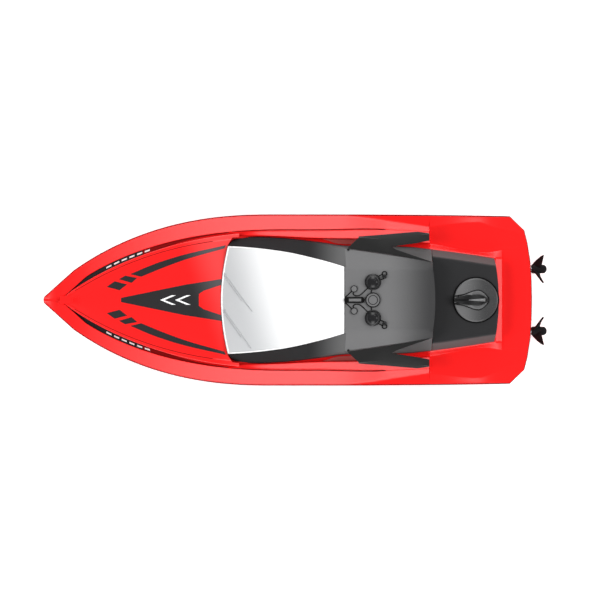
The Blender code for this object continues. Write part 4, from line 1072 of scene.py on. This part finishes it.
def make_wipers():
    """Two wipers lying on the windshield, each a thin arm with a blade beside it; their grey is painted shade
    on white plastic.
    """
    spans = (("port", (176.4, 5.6), (161.0, 27.6)), ("starboard", (176.2, -15.0), (160.4, 6.6)))
    for name, pivot, tip in spans:

        def at_share(share, lift, aside=0.0):
            s = pivot[0] + (tip[0] - pivot[0]) * share - 0.8 * aside
            b = pivot[1] + (tip[1] - pivot[1]) * share - 0.6 * aside
            return place(s, b, windshield_top(s, b) + lift)

        blade = [at_share(i / 19, 0.12) for i in range(20)]
        arm = [at_share(0.08 + 0.6 * i / 11, 0.12, -1.1) for i in range(12)]
        hinge = [at_share(0.0, 0.2, 0.3), at_share(0.03, 0.3, 0.0), at_share(0.06, 0.2, -0.4)]
        wire(f"wiper_blade_{name}", blade, 0.22, "wiper", *CABIN_WHITE, [f"wiper_{name}"], 8)
        wire(f"wiper_arm_{name}", arm, 0.15, "wiper", *CABIN_WHITE, (), 8)
        wire(f"wiper_hinge_{name}", hinge, 0.42, "wiper", *CABIN_WHITE, (), 8)


def make_roof():
    """The roof panel, flat in the middle, with a sloping strip along each side and a rolled rear edge."""
    rings = []
    for at in stations(ROOF_REAR, 60.5, 0.6) + stations(63, WINDSHIELD_REAR, 4):
        crease, crease_z, eave, eave_z = roof_edge(at)
        roll = roof_roll(at)
        middle = [(crease * (1 - i / 6), roof_top(at, crease * (1 - i / 6))) for i in range(1, 7)]
        side = [(eave, eave_z - 1.0 - roll * 0.4), (eave, eave_z - roll), (crease, crease_z - roll)]
        top = rounded(side + middle, [0.5, 3.0] + [0.5] * 5, 4)
        bottom = [(eave - 0.5, eave_z - PANEL), (crease, crease_z - PANEL)]
        bottom += [(b, z + roll - PANEL) for b, z in middle]
        ring = mirrored_ring(at, top, bottom)
        bow = eased([(ROOF_REAR, 1.3), (64, 0.0)], at)
        for point in ring:
            point.x -= bow * MM * max(1 - (point.y / MM / crease) ** 2, 0)
        rings.append(ring)
    # The roof's material is painted darker towards the rear edge as painted shade.
    piece("roof_sheet", carve(loft(rings)), "roof", *CABIN_BLACK, ["roof_panel"], edge=0.05)


def lid_section(at):
    """Half outline of the aft deck lid, from its foot to the centreline."""
    base = canopy_base_breadth(at)
    top = eased([(21.4, 19.4), (56, 24.6)], at)
    return [(base, CANOPY_FOOT), (base - 0.4, 40.6), (top, LID_TOP), (0.0, LID_TOP)]


def make_aft_lid():
    """The flat black lid behind the cabin, which carries the lock."""
    where = stations(17, ROOF_REAR, 4)
    rings = [mirrored_ring(at, rounded(lid_section(at), [0.6, 0.8]), [(0.0, CANOPY_FOOT)]) for at in where]
    hollow_rings = []
    for at in (23.6, 34, 46, 60):
        (base, _), (wall, wall_z), (top, _), _ = lid_section(at)
        section = [(base - 1.7, 30.0), (wall - 1.9, wall_z), (top - 1.3, LID_TOP - 1.6), (0.0, LID_TOP - 1.6)]
        hollow_rings.append(mirrored_ring(at, section, [(0.0, 30.0)]))
    rear = [(LID_REAR + 2.3 * (b / 23.6) ** 2, b) for b in range(-30, 31, 3)]
    cuts = [loft(hollow_rings), slab(rear + [(0, 30), (0, -30)], 20, 70), post(KNOB_STATION, 0, 30, 60, 2.5)]
    mesh = carve(loft(rings), cuts)
    # The lid's sloping sides are painted lighter as painted light.
    piece("aft_lid_shell", mesh, "lid", *CABIN_BLACK, ["aft_deck_lid"], edge=0.6)


# ---------------------------------------------------------------- side fins

# The port fin's corners: its ridge, outer edge, forked inner edge and root on the cabin
FIN_SPINE = [(106.0, 29.7), (99.6, 35.6), (86, 34.6), (65.3, 37.0), (59.4, 37.6)]
FIN_OUTER = [(59.4, 38.1), (66.1, 39.0), (84.5, 37.4), (99.8, 36.2)]
FIN_INNER = [(59.4, 33.9), (66.1, 32.5), (80.8, 30.3), (78.5, 28.8), (66.5, 24.6), (58.8, 22.0)]
FIN_ROOT = [(66.1, 23.2), (84.5, 26.5), (106.0, 29.3)]


def fin_height(at, side):
    """Height of a fin's upper face, which falls away from the cabin."""
    _, _, eave, eave_z = roof_edge(at)
    return eave_z + 0.4 - 0.30 * max(side - eave, 0)


def make_fin(name, side):
    """A swept wing on the cabin's side that splits into two prongs behind."""
    main = FIN_SPINE + FIN_INNER + FIN_ROOT

    def build(bm):
        made = {}

        def corner(point, drop=0.0):
            if (point, drop) not in made:
                s, b = point
                made[(point, drop)] = bm.verts.new(place(s, side * b, fin_height(s, b) - drop))
            return made[(point, drop)]

        faces = [bm.faces.new([corner(p) for p in main])]
        ridge, edge = FIN_SPINE[1:], FIN_OUTER[::-1]
        for k in range(3):
            quad = (corner(ridge[k]), corner(ridge[k + 1]), corner(edge[k + 1], 1.6), corner(edge[k], 1.6))
            faces.append(bm.faces.new(quad))
        bmesh.ops.triangulate(bm, faces=faces)
        grown = bmesh.ops.extrude_face_region(bm, geom=list(bm.faces), use_keep_orig=True)
        lowered = [v for v in grown["geom"] if isinstance(v, bmesh.types.BMVert)]
        bmesh.ops.translate(bm, verts=lowered, vec=(0, 0, -2.4 * MM))

    where = (50, 74, 90, 106.8, 112)
    seat = loft([mirrored_ring(at, [*frame_section(at, 0.4), (0.0, 70)], [(0.0, 30.0)]) for at in where])
    fin = carve(raw(mesh_from(build)), [seat])
    piece(f"fin_shell_{name}", fin, "fin", *CABIN_BLACK, [f"side_fin_{name}"], edge=0.3, angle=25)
    low = place(105.6, side * 28.8, roof_edge(105.6)[3] - 2.0)
    pin = carve(rod(low, low + Vector((0, 0, 3.0 * MM)), 0.7, 24))
    piece(f"fin_pin_{name}", pin, "fitting", *CABIN_BLACK)


# ---------------------------------------------------------------- roof fittings


FITTING_SHIFT = 0.6


def hoop(name, centre, radius, thick, material):
    """A thin round hoop that lies flat on the canopy."""
    rings = []
    for i in range(48):
        a = 2 * math.pi * i / 48
        out = Vector((math.cos(a), math.sin(a), 0))
        ring = []
        for k in range(8):
            t = 2 * math.pi * k / 8
            offset = out * (radius + thick * math.cos(t)) + Vector((0, 0, thick * math.sin(t)))
            ring.append(centre + offset * MM)
        rings.append(ring)
    piece(name, carve(loft(rings, True)), material, *CABIN_BLACK, angle=70)


def on_roof(s, b, lift):
    """A point above the roof; the visible fittings stand a little ahead of their CAD solids."""
    return place(s + FITTING_SHIFT, b, roof_top(s, min(abs(b), 17.0)) + lift)


# Station and distance from the centreline of each fitting, and the horn bar's rear and front stations
DOME = (91.1, 10.2)
LIGHT = (101.8, 6.3)
BEACON = (84.5, 13.3)
HORN = (98.2, 106.4)

DOME_ARC = [(3.9 * math.cos(i * math.pi / 16), 1.2 + 2.8 * math.sin(i * math.pi / 16)) for i in range(8)]
DOME_PROFILE = [(0, 4.0), *DOME_ARC[::-1], (4.0, 1.0), (4.4, 0.75), (4.4, 0.15), (4.25, 0), (0, 0)]
LIGHT_PROFILE = [(0, 0.95), (1.3, 0.95), (1.55, 0.8), (1.6, 0.5), (1.6, 0), (0, 0)]
BEACON_PROFILE = [(0, 1.8), (0.5, 1.75), (1.0, 1.5), (1.2, 1.0), (1.3, 0.5), (1.3, 0), (0, 0)]
RING_PROFILE = [(0, 0.95), (2.3, 0.95), (2.6, 0.9), (2.9, 1.35), (3.2, 1.5), (3.6, 1.4), (3.8, 1.0)]
RING_PROFILE += [(3.8, 0), (0, 0)]

# The seams between the fittings on the port side
SEAMS = {
    "front": [(106.8, 1.6), (105.0, 3.2), (102.9, 5.2)],
    "middle": [(101.8, 4.9), (102.3, 3.5), (101.0, 2.5), (98.3, 2.9), (94.2, 6.6)],
    "rear": [(87.9, 13.4), (86.6, 14.2), (85.4, 14.6)],
    "lower": [(86.9, 11.5), (84.9, 12.1), (83.9, 12.4)],
    "inner": [(92.2, 3.9), (92.0, 5.0), (91.6, 6.2)],
}


def make_fitting(name, base, profile, material, node):
    """A turned fitting that stands on the roof."""
    piece(name, carve(turned(profile, base)), material, *CABIN_BLACK, [node])


def make_side_fittings(name, side):
    """One side's radar dome, light and beacon with the hoops round them, and the seams between them."""
    s, b = DOME[0], side * DOME[1]
    make_fitting(f"dome_{name}", on_roof(s, b, GAP + 0.2), DOME_PROFILE, "fitting", f"radar_dome_{name}")
    hoop(f"dome_ring_{name}", on_roof(s, b, GAP + 2.6), 3.25, 0.2, "knob")
    hoop(f"dome_rim_{name}", on_roof(s, b, GAP + 0.6), 4.3, 0.34, "outline")
    s, b = LIGHT[0], side * LIGHT[1]
    make_fitting(f"light_{name}", on_roof(s, b, GAP), LIGHT_PROFILE, "roof", f"roof_light_{name}")
    hoop(f"light_rim_{name}", on_roof(s, b, 0.75), 1.65, 0.32, "outline")
    s, b = BEACON[0], side * BEACON[1]
    make_fitting(f"beacon_{name}", on_roof(s, b, GAP), BEACON_PROFILE, "fitting", f"roof_beacon_{name}")
    hoop(f"beacon_rim_{name}", on_roof(s, side * 14.9, 0.5), 1.3, 0.28, "outline")
    for part, knots in SEAMS.items():
        points = smooth_route([on_roof(s, side * b, 0.12) for s, b in knots], 17)
        wire(f"seam_{part}_{name}", points, 0.3, "outline", *CABIN_BLACK)


def make_roof_fittings():
    """The fittings on both sides, and the centre light ring and the horn bar between them."""
    for name, side in SIDES:
        make_side_fittings(name, side)
    make_fitting("searchlight_ring", on_roof(DOME[0], 0, GAP), RING_PROFILE, "roof", "searchlight")
    hoop("searchlight_rim", on_roof(DOME[0], 0, 0.9), 3.85, 0.42, "outline")
    hoop("searchlight_seam", on_roof(DOME[0], 0, 1.25), 2.6, 0.22, "outline")

    half = 1.8
    turn = [math.pi / 2 + math.pi * i / 16 for i in range(17)]
    outline = [(HORN[0] + half * math.cos(a), half * math.sin(a)) for a in turn]
    outline += [(HORN[1] - half * math.cos(a), -half * math.sin(a)) for a in turn]
    low = roof_top(98, 0) + GAP
    capsule = carve(slab(outline, low, low + 1.8))
    piece("horn_capsule", capsule, "outline", *CABIN_BLACK, ["horn_bar"], edge=0.5)
    top = slab([(98.4, 0.8), (105.4, 0.8), (105.4, -0.8), (98.4, -0.8)], low + 1.6, low + 2.05)
    piece("horn_top", carve(top), "roof", *CABIN_BLACK, edge=0.2)


# ---------------------------------------------------------------- hatch lock

KNOB_BASE = LID_TOP + GAP


def grip_rings():
    """Rings of the grip's foot, skirt, core and ridge, for a grip that narrows towards the bow."""
    low = KNOB_BASE + 2.5
    plan = [(12.4, 1.9), (10.0, 2.3), (7.3, 2.8), (4.6, 3.8), (2.4, 4.7), (0.0, 5.3), (-1.5, 5.4)]
    plan += [(-3.2, 4.8), (-4.8, 3.6), (-6.1, 2.0), (-6.9, 0.7)]
    rings = {"foot": [], "skirt": [], "core": [], "ridge": []}

    def add(part, at, outline):
        rings[part].append(mirrored_ring(at, outline, [(0.0, outline[0][1])]))

    for along, width in plan:
        at = KNOB_STATION + along
        top = eased([(-6.9, 53.6), (-5.0, 55.6), (-2.5, 56.6), (1.0, 56.7), (5.0, 55.6), (12.4, 53.4)], along)
        inner = width * eased([(-6.9, 0.6), (1.0, 0.60), (6.0, 0.85), (12.4, 0.97)], along)
        wide, high = width + 0.55, low + 0.45
        beyond = eased([(-6.9, -0.6), (-4.8, 0.0), (7.3, 0.0), (12.4, 0.4)], along)
        add("foot", at + beyond, [(wide, low - 1.7), (wide, high - 0.1), (width, high), (0.0, high)])
        add("skirt", at, [(width, low), (width - 0.1, low + 0.7), (inner, low + 1.5), (0.0, low + 1.5)])
        crown = [(inner * 0.75, top - 0.9), (0.5, top), (0.0, top)]
        add("core", at - 0.1, [(inner, low + 0.6), (inner, low + 1.6), *crown])
        if -6.0 < along < 6:
            wide = eased([(-4.8, 0.9), (0.0, 0.7), (4.6, 0.2)], along)
            add("ridge", at - 0.2, [(wide, top - 0.5), (wide * 0.8, top + 0.2), (0.0, top + 0.4)])
    return rings


def make_knob():
    """The dished plate with its faceted grip, all bored for the spindle; its blacks and greys are painted
    light, painted shade and a painted highlight.
    """
    dish = [(0, 3.0), (5.0, 2.8), (8.0, 2.2), (10.4, 1.75), (11.6, 1.7), (12.1, 1.6), (12.4, 1.2)]
    dish += [(12.5, 0.8), (12.5, 0.4), (12.3, 0.05), (0, 0)]
    solid = turned(dish, place(KNOB_STATION, 0, KNOB_BASE), steps=96)
    plate = carve(solid, [post(KNOB_STATION, 0, 40, 52.6, 2.5)])
    # The plate is painted lighter towards the bow: painted light.
    piece("knob_plate", plate, "knob", *KNOB_BLACK, ["lock_knob"], edge=0.15, angle=50)
    rings = grip_rings()
    # The foot and the core are painted shade, the skirt painted light.
    for part, finish in (("foot", "outline"), ("skirt", "skirt"), ("core", "grip")):
        mesh = carve(loft(rings[part]), [post(KNOB_STATION, 0, 40, 52.6, 2.5)])
        piece(f"knob_{part}", mesh, finish, *KNOB_BLACK, edge=0.15, angle=25)
    # The ridge's light grey is a painted highlight.
    piece("knob_ridge", carve(loft(rings["ridge"])), "ridge", *KNOB_BLACK, edge=0.1, angle=25)
    # A near-black hoop round the plate: a painted shadow.
    hoop("knob_painted_shadow_hoop", place(KNOB_STATION, 0, LID_TOP + 0.1), 13.0, 0.32, "outline")


def make_lock():
    """The knob, its spindle, the rubber bush in the lid and the socket in the deck."""
    make_knob()

    def bar(low, high, radius):
        return post(KNOB_STATION, 0, low, high, radius)

    stem = carve(bar(28.2, 52.2, 2.2), joins=[bar(27.4, 28.9, 4.0)])
    piece("spindle_stem", stem, "steel", "lock_knob", "steel", ["lock_spindle"])
    bush = carve(bar(29.2, 40.4, 4.4), [bar(27, 43, 2.5)])
    piece("bush_sleeve", bush, "bush", "canopy", "bush_rubber", ["lock_bush"], edge=0.3)
    cup = raw(carve(bar(27, 39.6, 6.0), joins=[bar(38.8, 39.8, 8.4)]))
    cup = carve(cup, [bar(20, 45, 4.7)])
    piece("socket_cup", cup, "red", *HULL_RED, ["lock_socket"], edge=0.2)


# ---------------------------------------------------------------- drive line


def blade(origin, axis, angle, hand):
    """One twisted propeller blade with a rounded tip and a thin aerofoil section."""
    turn_to = axis.to_track_quat("X", "Z")
    oval = [(0.5 * math.cos(math.pi * k / 8), 0.5 * math.sin(math.pi * k / 8)) for k in range(16)]
    rings = []
    for i in range(15):
        share = i / 14
        radius = 1.7 + 7.4 * share
        chord = eased([(0.0, 8.6), (0.35, 6.6), (0.7, 3.9), (0.92, 1.9), (1.0, 0.8)], share)
        thick = eased([(0.0, 1.8), (0.4, 1.7), (1.0, 1.2)], share)
        twist = math.radians(eased([(0.0, 52), (0.4, 60), (1.0, 66)], share))
        rake = 1.9 - 4.0 * share
        ring = []
        for u, v in oval:
            u, v = u * chord, v * thick
            along = rake + u * math.cos(twist) - v * math.sin(twist)
            across = u * math.sin(twist) + v * math.cos(twist)
            spin = angle + hand * across / max(radius, 4.0)
            point = Vector((along, radius * math.cos(spin), radius * math.sin(spin)))
            ring.append(origin + turn_to @ (point * MM))
        rings.append(ring)
    return loft(rings)


def make_propeller(name, side):
    """A three-bladed propeller with a rounded nose."""
    line = shaft_line(side)
    axis = (line(10) - line(0)).normalized()
    nose = [(2.5 * math.cos(a), -2.6 - 2.2 * math.sin(a)) for a in [i * math.pi / 14 for i in range(7)]]
    profile = [(0, 4.2), (2.1, 4.2), (2.4, 4.0), (2.5, 3.6), *nose, (0, -4.8)]
    angles = [math.radians(30 + 120 * i) for i in range(3)]
    blades = [blade(line(HUB_STATION), axis, a if side < 0 else math.pi - a, -side) for a in angles]
    body = raw(carve(turned(profile, line(HUB_STATION), axis), joins=blades))
    screw = carve(body, [rod(line(HUB_STATION - 0.4), line(HUB_STATION + 8), 1.3)])
    node = f"propeller_{name}"
    piece(f"screw_{name}", screw, "propeller", f"drive_{name}", "black_plastic", [node], edge=0.12)


def make_motor(name, line):
    """A motor can with flat top and bottom, its vents and its rear cap."""
    corner = math.asin(0.75)
    ring = [(10 * math.cos(a), 10 * math.sin(a)) for a in [corner * (1 - i / 8) for i in range(17)]]
    ring += [(-x, -y) for x, y in ring]
    axis = (line(10) - line(0)).normalized()
    across = Vector((0, 1, 0))
    up = axis.cross(across) * -1
    rings = []
    for at, share in ((50.0, 0.9), (50.4, 0.97), (51.0, 1.0), (79.0, 1.0), (79.6, 0.97), (80.0, 0.9)):
        rings.append([line(at) + (across * x + up * y) * share * MM for x, y in ring])
    cuts = [rod(line(47), line(54), 1.4)]
    for outwards in (-across, across):
        for at in (58, 72):
            vent = line(at) + outwards * 10 * MM
            cuts.append(rod(vent - across * 0.6 * MM, vent + across * 3 * MM, 1.6))
    piece(f"can_{name}", carve(loft(rings), cuts), "can", "hull", "motor_can", [f"motor_{name}"], edge=0.15)
    profile = [(0, 3.0), (3.0, 3.0), (3.2, 2.4), (5.6, 2.3), (6.4, 2.0), (7.0, 1.2), (7.0, 0), (0, 0)]
    cap = carve(turned(profile, line(80.3), axis))
    piece(f"cap_{name}", cap, "chip", *HULL_BLACK, [f"motor_cap_{name}"])


def make_drive(name, side):
    """One side's drive line: propeller, shaft, stern tube, gland, coupling and motor."""
    line = shaft_line(side)
    body = f"drive_{name}"
    make_propeller(name, side)
    shaft = carve(rod(line(HUB_STATION), line(40.5), 1.0))
    piece(f"shaft_{name}", shaft, "steel", body, "steel", [f"prop_shaft_{name}"])
    tube = carve(rod(line(0.6), line(35), 2.0), [rod(line(-2), line(38), 1.3)])
    piece(f"tube_{name}", tube, "brass", "hull", "brass", [f"stern_tube_{name}"])
    axis = (line(10) - line(0)).normalized()
    profile = [(0, 6.8), (2.8, 6.8), (3.0, 6.5), (3.2, 5.4), (3.5, 5.1), (3.6, 3.4)]
    profile += [(4.0, 3.1), (4.2, 0.3), (4.0, 0), (0, 0)]
    gland = carve(turned(profile, line(4.2), axis), [rod(line(1), line(14), 2.3)])
    piece(f"gland_{name}", gland, "grey", *HULL_BLACK, [f"stern_gland_{name}"])
    profile = [(0, 10), (2.6, 10), (3.0, 9.6), (3.0, 7.2), (2.5, 6.8), (2.5, 6.2), (3.0, 5.8), (3.0, 4.2)]
    profile += [(2.5, 3.8), (2.5, 3.2), (3.0, 2.8), (3.0, 0.4), (2.6, 0), (0, 0)]
    coupling = carve(turned(profile, line(37), axis), [rod(line(34), line(50), 1.3)])
    piece(f"coupling_{name}", coupling, "grey", body, "grey_plastic", [f"shaft_coupling_{name}"])
    spindle = carve(rod(line(41.4), line(52.4), 1.0))
    piece(f"spindle_{name}", spindle, "steel", body, "steel", [f"motor_spindle_{name}"])
    make_motor(name, line)


def make_motor_mount():
    """The cradle under both motors and the ribbed strap across them."""
    at = 65
    screws = (31.6, 0.0, -31.6)
    outline = [(35.0, 24.8), (0.0, 24.8)], [(35.0, 11.0), (8.5, 2.4), (0.0, 2.4)]
    cuts = []
    for _, side in SIDES:
        height = shaft_line(side)(at).z / MM - 7.8 + 18
        cuts.append(block(at, side * SHAFT_OFFSET, height, (60, 20.6, 36), SHAFT_SLOPE))
    cuts += [post(at, b, 14, 30, 1.3) for b in screws]
    cradle = carve(loft([mirrored_ring(end, *outline) for end in (at - 9, at + 9)]), cuts)
    piece("cradle_block", cradle, "grey", *HULL_GREY, ["motor_cradle"], edge=0.4)
    ribs = [block(at + along, 0, 26.6, (1.4, 54, 1.0)) for along in (-3.4, 3.4)]
    strap = raw(carve(block(at, 0, 25.8, (12, 70, 1.4)), joins=ribs))
    strap = raw(carve(strap, joins=[block(at, b, 26.1, (12, 6, 2.0)) for b in screws]))
    strap = carve(strap, [post(at, b, 14, 30, 1.3) for b in screws])
    piece("strap_plate", strap, "grey", *HULL_GREY, ["motor_strap"], edge=0.3)


# ---------------------------------------------------------------- electronics


def make_battery():
    """The battery pack with its two bands, in its tray."""
    middle = 133
    slots = [block(middle + along, 0, 14.6, (6, 40, 3.0)) for along in (-14, 0, 14)]
    tray = carve(block(middle, 0, 11.5, (56, 37, 7.4)), [block(middle, 0, 13.2, (53, 34, 8)), *slots])
    piece("tray_box", tray, "grey", *HULL_GREY, ["battery_tray"], edge=0.4)
    outline = [(middle + 25 * u, 15.5 * v) for u, v in ((1, 0.86), (0.95, 1), (-0.95, 1), (-1, 0.86))]
    pack = carve(slab(both_sides(outline), 9.6, 26.6))
    piece("battery_block", pack, "battery", "hull", "battery_wrap", ["battery_pack"], edge=1.6)
    for end, along in (("rear", -18), ("front", 18)):
        outline = [(middle + along + d, b) for d, b in ((-2, -12), (2, -12), (2, 12), (-2, 12))]
        piece(f"battery_band_{end}", carve(slab(outline, 26.5, 26.75)), "chip", *HULL_BLACK)


def make_board():
    """The receiver board with its connector and chips."""
    at, offset, _ = BOARD_POST
    board = raw(carve(block(at, 0, 12.8, (16, 44, 1.6)), joins=[block(96, 8, 14.8, (5, 8, 3.0))]))
    board = carve(board, [post(at, side * offset, 8, 20, 1.3) for side in (-1, 1)])
    piece("board_plate", board, "board", "hull", "board_green", ["receiver_board"], edge=0.15)
    chips = {
        "radio": (96, -6, 14.35, (7, 7, 1.5), "chip"),
        "driver_port": (91.6, 3.0, 14.1, (4, 3.4, 1.0), "chip"),
        "driver_starboard": (91.6, -12.4, 14.1, (4, 3.4, 1.0), "chip"),
        "crystal": (99.5, 1.0, 14.2, (2.2, 4.4, 1.2), "can"),
    }
    for name, (s, b, z, size, finish) in chips.items():
        piece(f"chip_{name}", carve(block(s, b, z, size)), finish, *HULL_BLACK, edge=0.2)


def make_lead(name, knots, count, radius, material, node, steps=14):
    """An insulated wire on a smooth route through knots of (station, side, height)."""
    route = smooth_route([place(*knot) for knot in knots], count)
    wire(name, route, radius, material, "hull", material, [node], steps)


def make_wiring():
    """The motor leads, the battery lead and the antenna wire."""
    for name, side in SIDES:
        knots = [(83.9, 17.9, 20.6), (85.6, 17.6, 21.0), (88.4, 18.6, 18.6), (90.0, 19.6, 14.8)]
        knots = [(s, side * b, z) for s, b, z in knots]
        make_lead(f"lead_{name}", knots, 28, 0.7, "lead_red", f"motor_lead_{name}")
    knots = [(107.4, 8, 20), (105.0, 8, 21.4), (102, 8, 20.8), (99.4, 8, 18.8), (98.0, 8, 16.9)]
    make_lead("battery_cord", knots, 36, 0.9, "lead_black", "battery_lead")
    knots = [(99, -18, 14.4), (104, -24, 18), (118, -29, 26), (138, -31, 29), (158, -30, 30)]
    make_lead("antenna_line", knots, 60, 0.5, "lead_black", "antenna_wire", 12)


# ---------------------------------------------------------------- whole boat


def make_boat():
    make_hull()
    make_rim()
    make_deck()
    make_foredeck_cover()
    make_stickers()
    make_canopy_frame()
    make_windshield()
    make_wipers()
    make_roof()
    make_aft_lid()
    make_roof_fittings()
    make_lock()
    make_motor_mount()
    make_battery()
    make_board()
    make_wiring()
    for name, side in SIDES:
        make_fin(name, side)
        make_drive(name, side)


def finish_kept_nodes():
    """Gives the CAD nodes that stay visible, the screws and contacts, their surface."""
    for name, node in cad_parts.items():
        if name.startswith(("strap_screw", "board_screw", "water_contact")):
            node.data.materials.clear()
            node.data.materials.append(MATERIALS["steel"])


make_boat()
finish_kept_nodes()


# ---------------------------------------------------------------- floor, camera and light


def make_floor():
    """A plain white floor that the boat stands on."""
    made = bpy.data.materials.new("floor_white")
    made.use_nodes = True
    shader = made.node_tree.nodes["Principled BSDF"]
    values = {"Roughness": 0.9, "Specular IOR Level": 0.0, "Emission Strength": 0.30}
    values |= {"Base Color": (0.97, 0.97, 0.97, 1.0), "Emission Color": (1.0, 1.0, 1.0, 1.0)}
    for name, value in values.items():
        shader.inputs[name].default_value = value
    mesh = bpy.data.meshes.new("floor")
    corners = [(x, y, -0.0002) for x, y in ((-2, -2), (2, -2), (2, 2), (-2, 2))]
    mesh.from_pydata(corners, [], [(0, 1, 2, 3)])
    mesh.materials.append(made)
    floor = bpy.data.objects.new("floor", mesh)
    bpy.context.scene.collection.objects.link(floor)


def make_camera():
    """A long lens high above the boat, looking straight down with the bow to the left."""
    distance, view_width = 3.0, 0.3441
    data = bpy.data.cameras.new("camera")
    data.sensor_width = 36
    data.lens = 36 * distance / view_width
    data.clip_start = 0.1
    data.clip_end = 20
    camera = bpy.data.objects.new("camera", data)
    camera.location = (-0.0021, 0.0, distance + 0.035)
    camera.rotation_euler = (0, 0, math.pi)
    bpy.context.scene.collection.objects.link(camera)
    bpy.context.scene.camera = camera


def soft_box(name, location, size, energy, glossy):
    """A square light that faces the boat and stays out of the picture."""
    light = bpy.data.lights.new(name, "AREA")
    light.size = size
    light.energy = energy
    lamp = bpy.data.objects.new(name, light)
    lamp.location = location
    lamp.rotation_euler = (-Vector(location)).to_track_quat("-Z", "Y").to_euler()
    lamp.visible_camera = False
    lamp.visible_glossy = glossy
    bpy.context.scene.collection.objects.link(lamp)


def make_lights():
    """A dim room with bright walls to port and starboard, soft lights fore and aft and a small accent."""
    world = bpy.data.worlds.new("studio")
    bpy.context.scene.world = world
    world.use_nodes = True
    tree = world.node_tree
    coords = add_node(tree, "TexCoord")
    split = add_node(tree, "SeparateXYZ")
    link(tree, coords, "Generated", split, "Vector")
    glow = add_node(tree, "Math")
    glow.operation = "MULTIPLY"
    for factor, (axis, full, none) in enumerate((("X", 0.04, 0.55), ("Z", 0.55, 0.86))):
        size = add_node(tree, "Math")
        size.operation = "ABSOLUTE"
        share = add_node(tree, "MapRange", From_Min=none, From_Max=full)
        share.interpolation_type = "SMOOTHSTEP"
        link(tree, split, axis, size, "Value")
        link(tree, size, "Value", share, "Value")
        link(tree, share, "Result", glow, factor)
    level = add_node(tree, "Math")
    level.operation = "MULTIPLY_ADD"
    level.inputs[1].default_value = 3.0
    level.inputs[2].default_value = 0.07
    link(tree, glow, "Value", level, "Value")
    link(tree, level, "Value", tree.nodes["Background"], "Strength")
    tree.nodes["Background"].inputs["Color"].default_value = (1.0, 1.0, 1.0, 1.0)
    soft_box("fore_key", (0.95, 0.15, 1.25), 0.8, 15, False)
    soft_box("aft_key", (-0.95, -0.15, 1.25), 0.8, 15, False)
    soft_box("aft_glow", (-1.20, 0.0, 0.90), 0.5, 2.2, True)
    soft_box("accent", (-0.62, -0.62, 1.0), 0.12, 0.5, True)
    bpy.context.scene.view_settings.view_transform = "Standard"


make_floor()
make_camera()
make_lights()
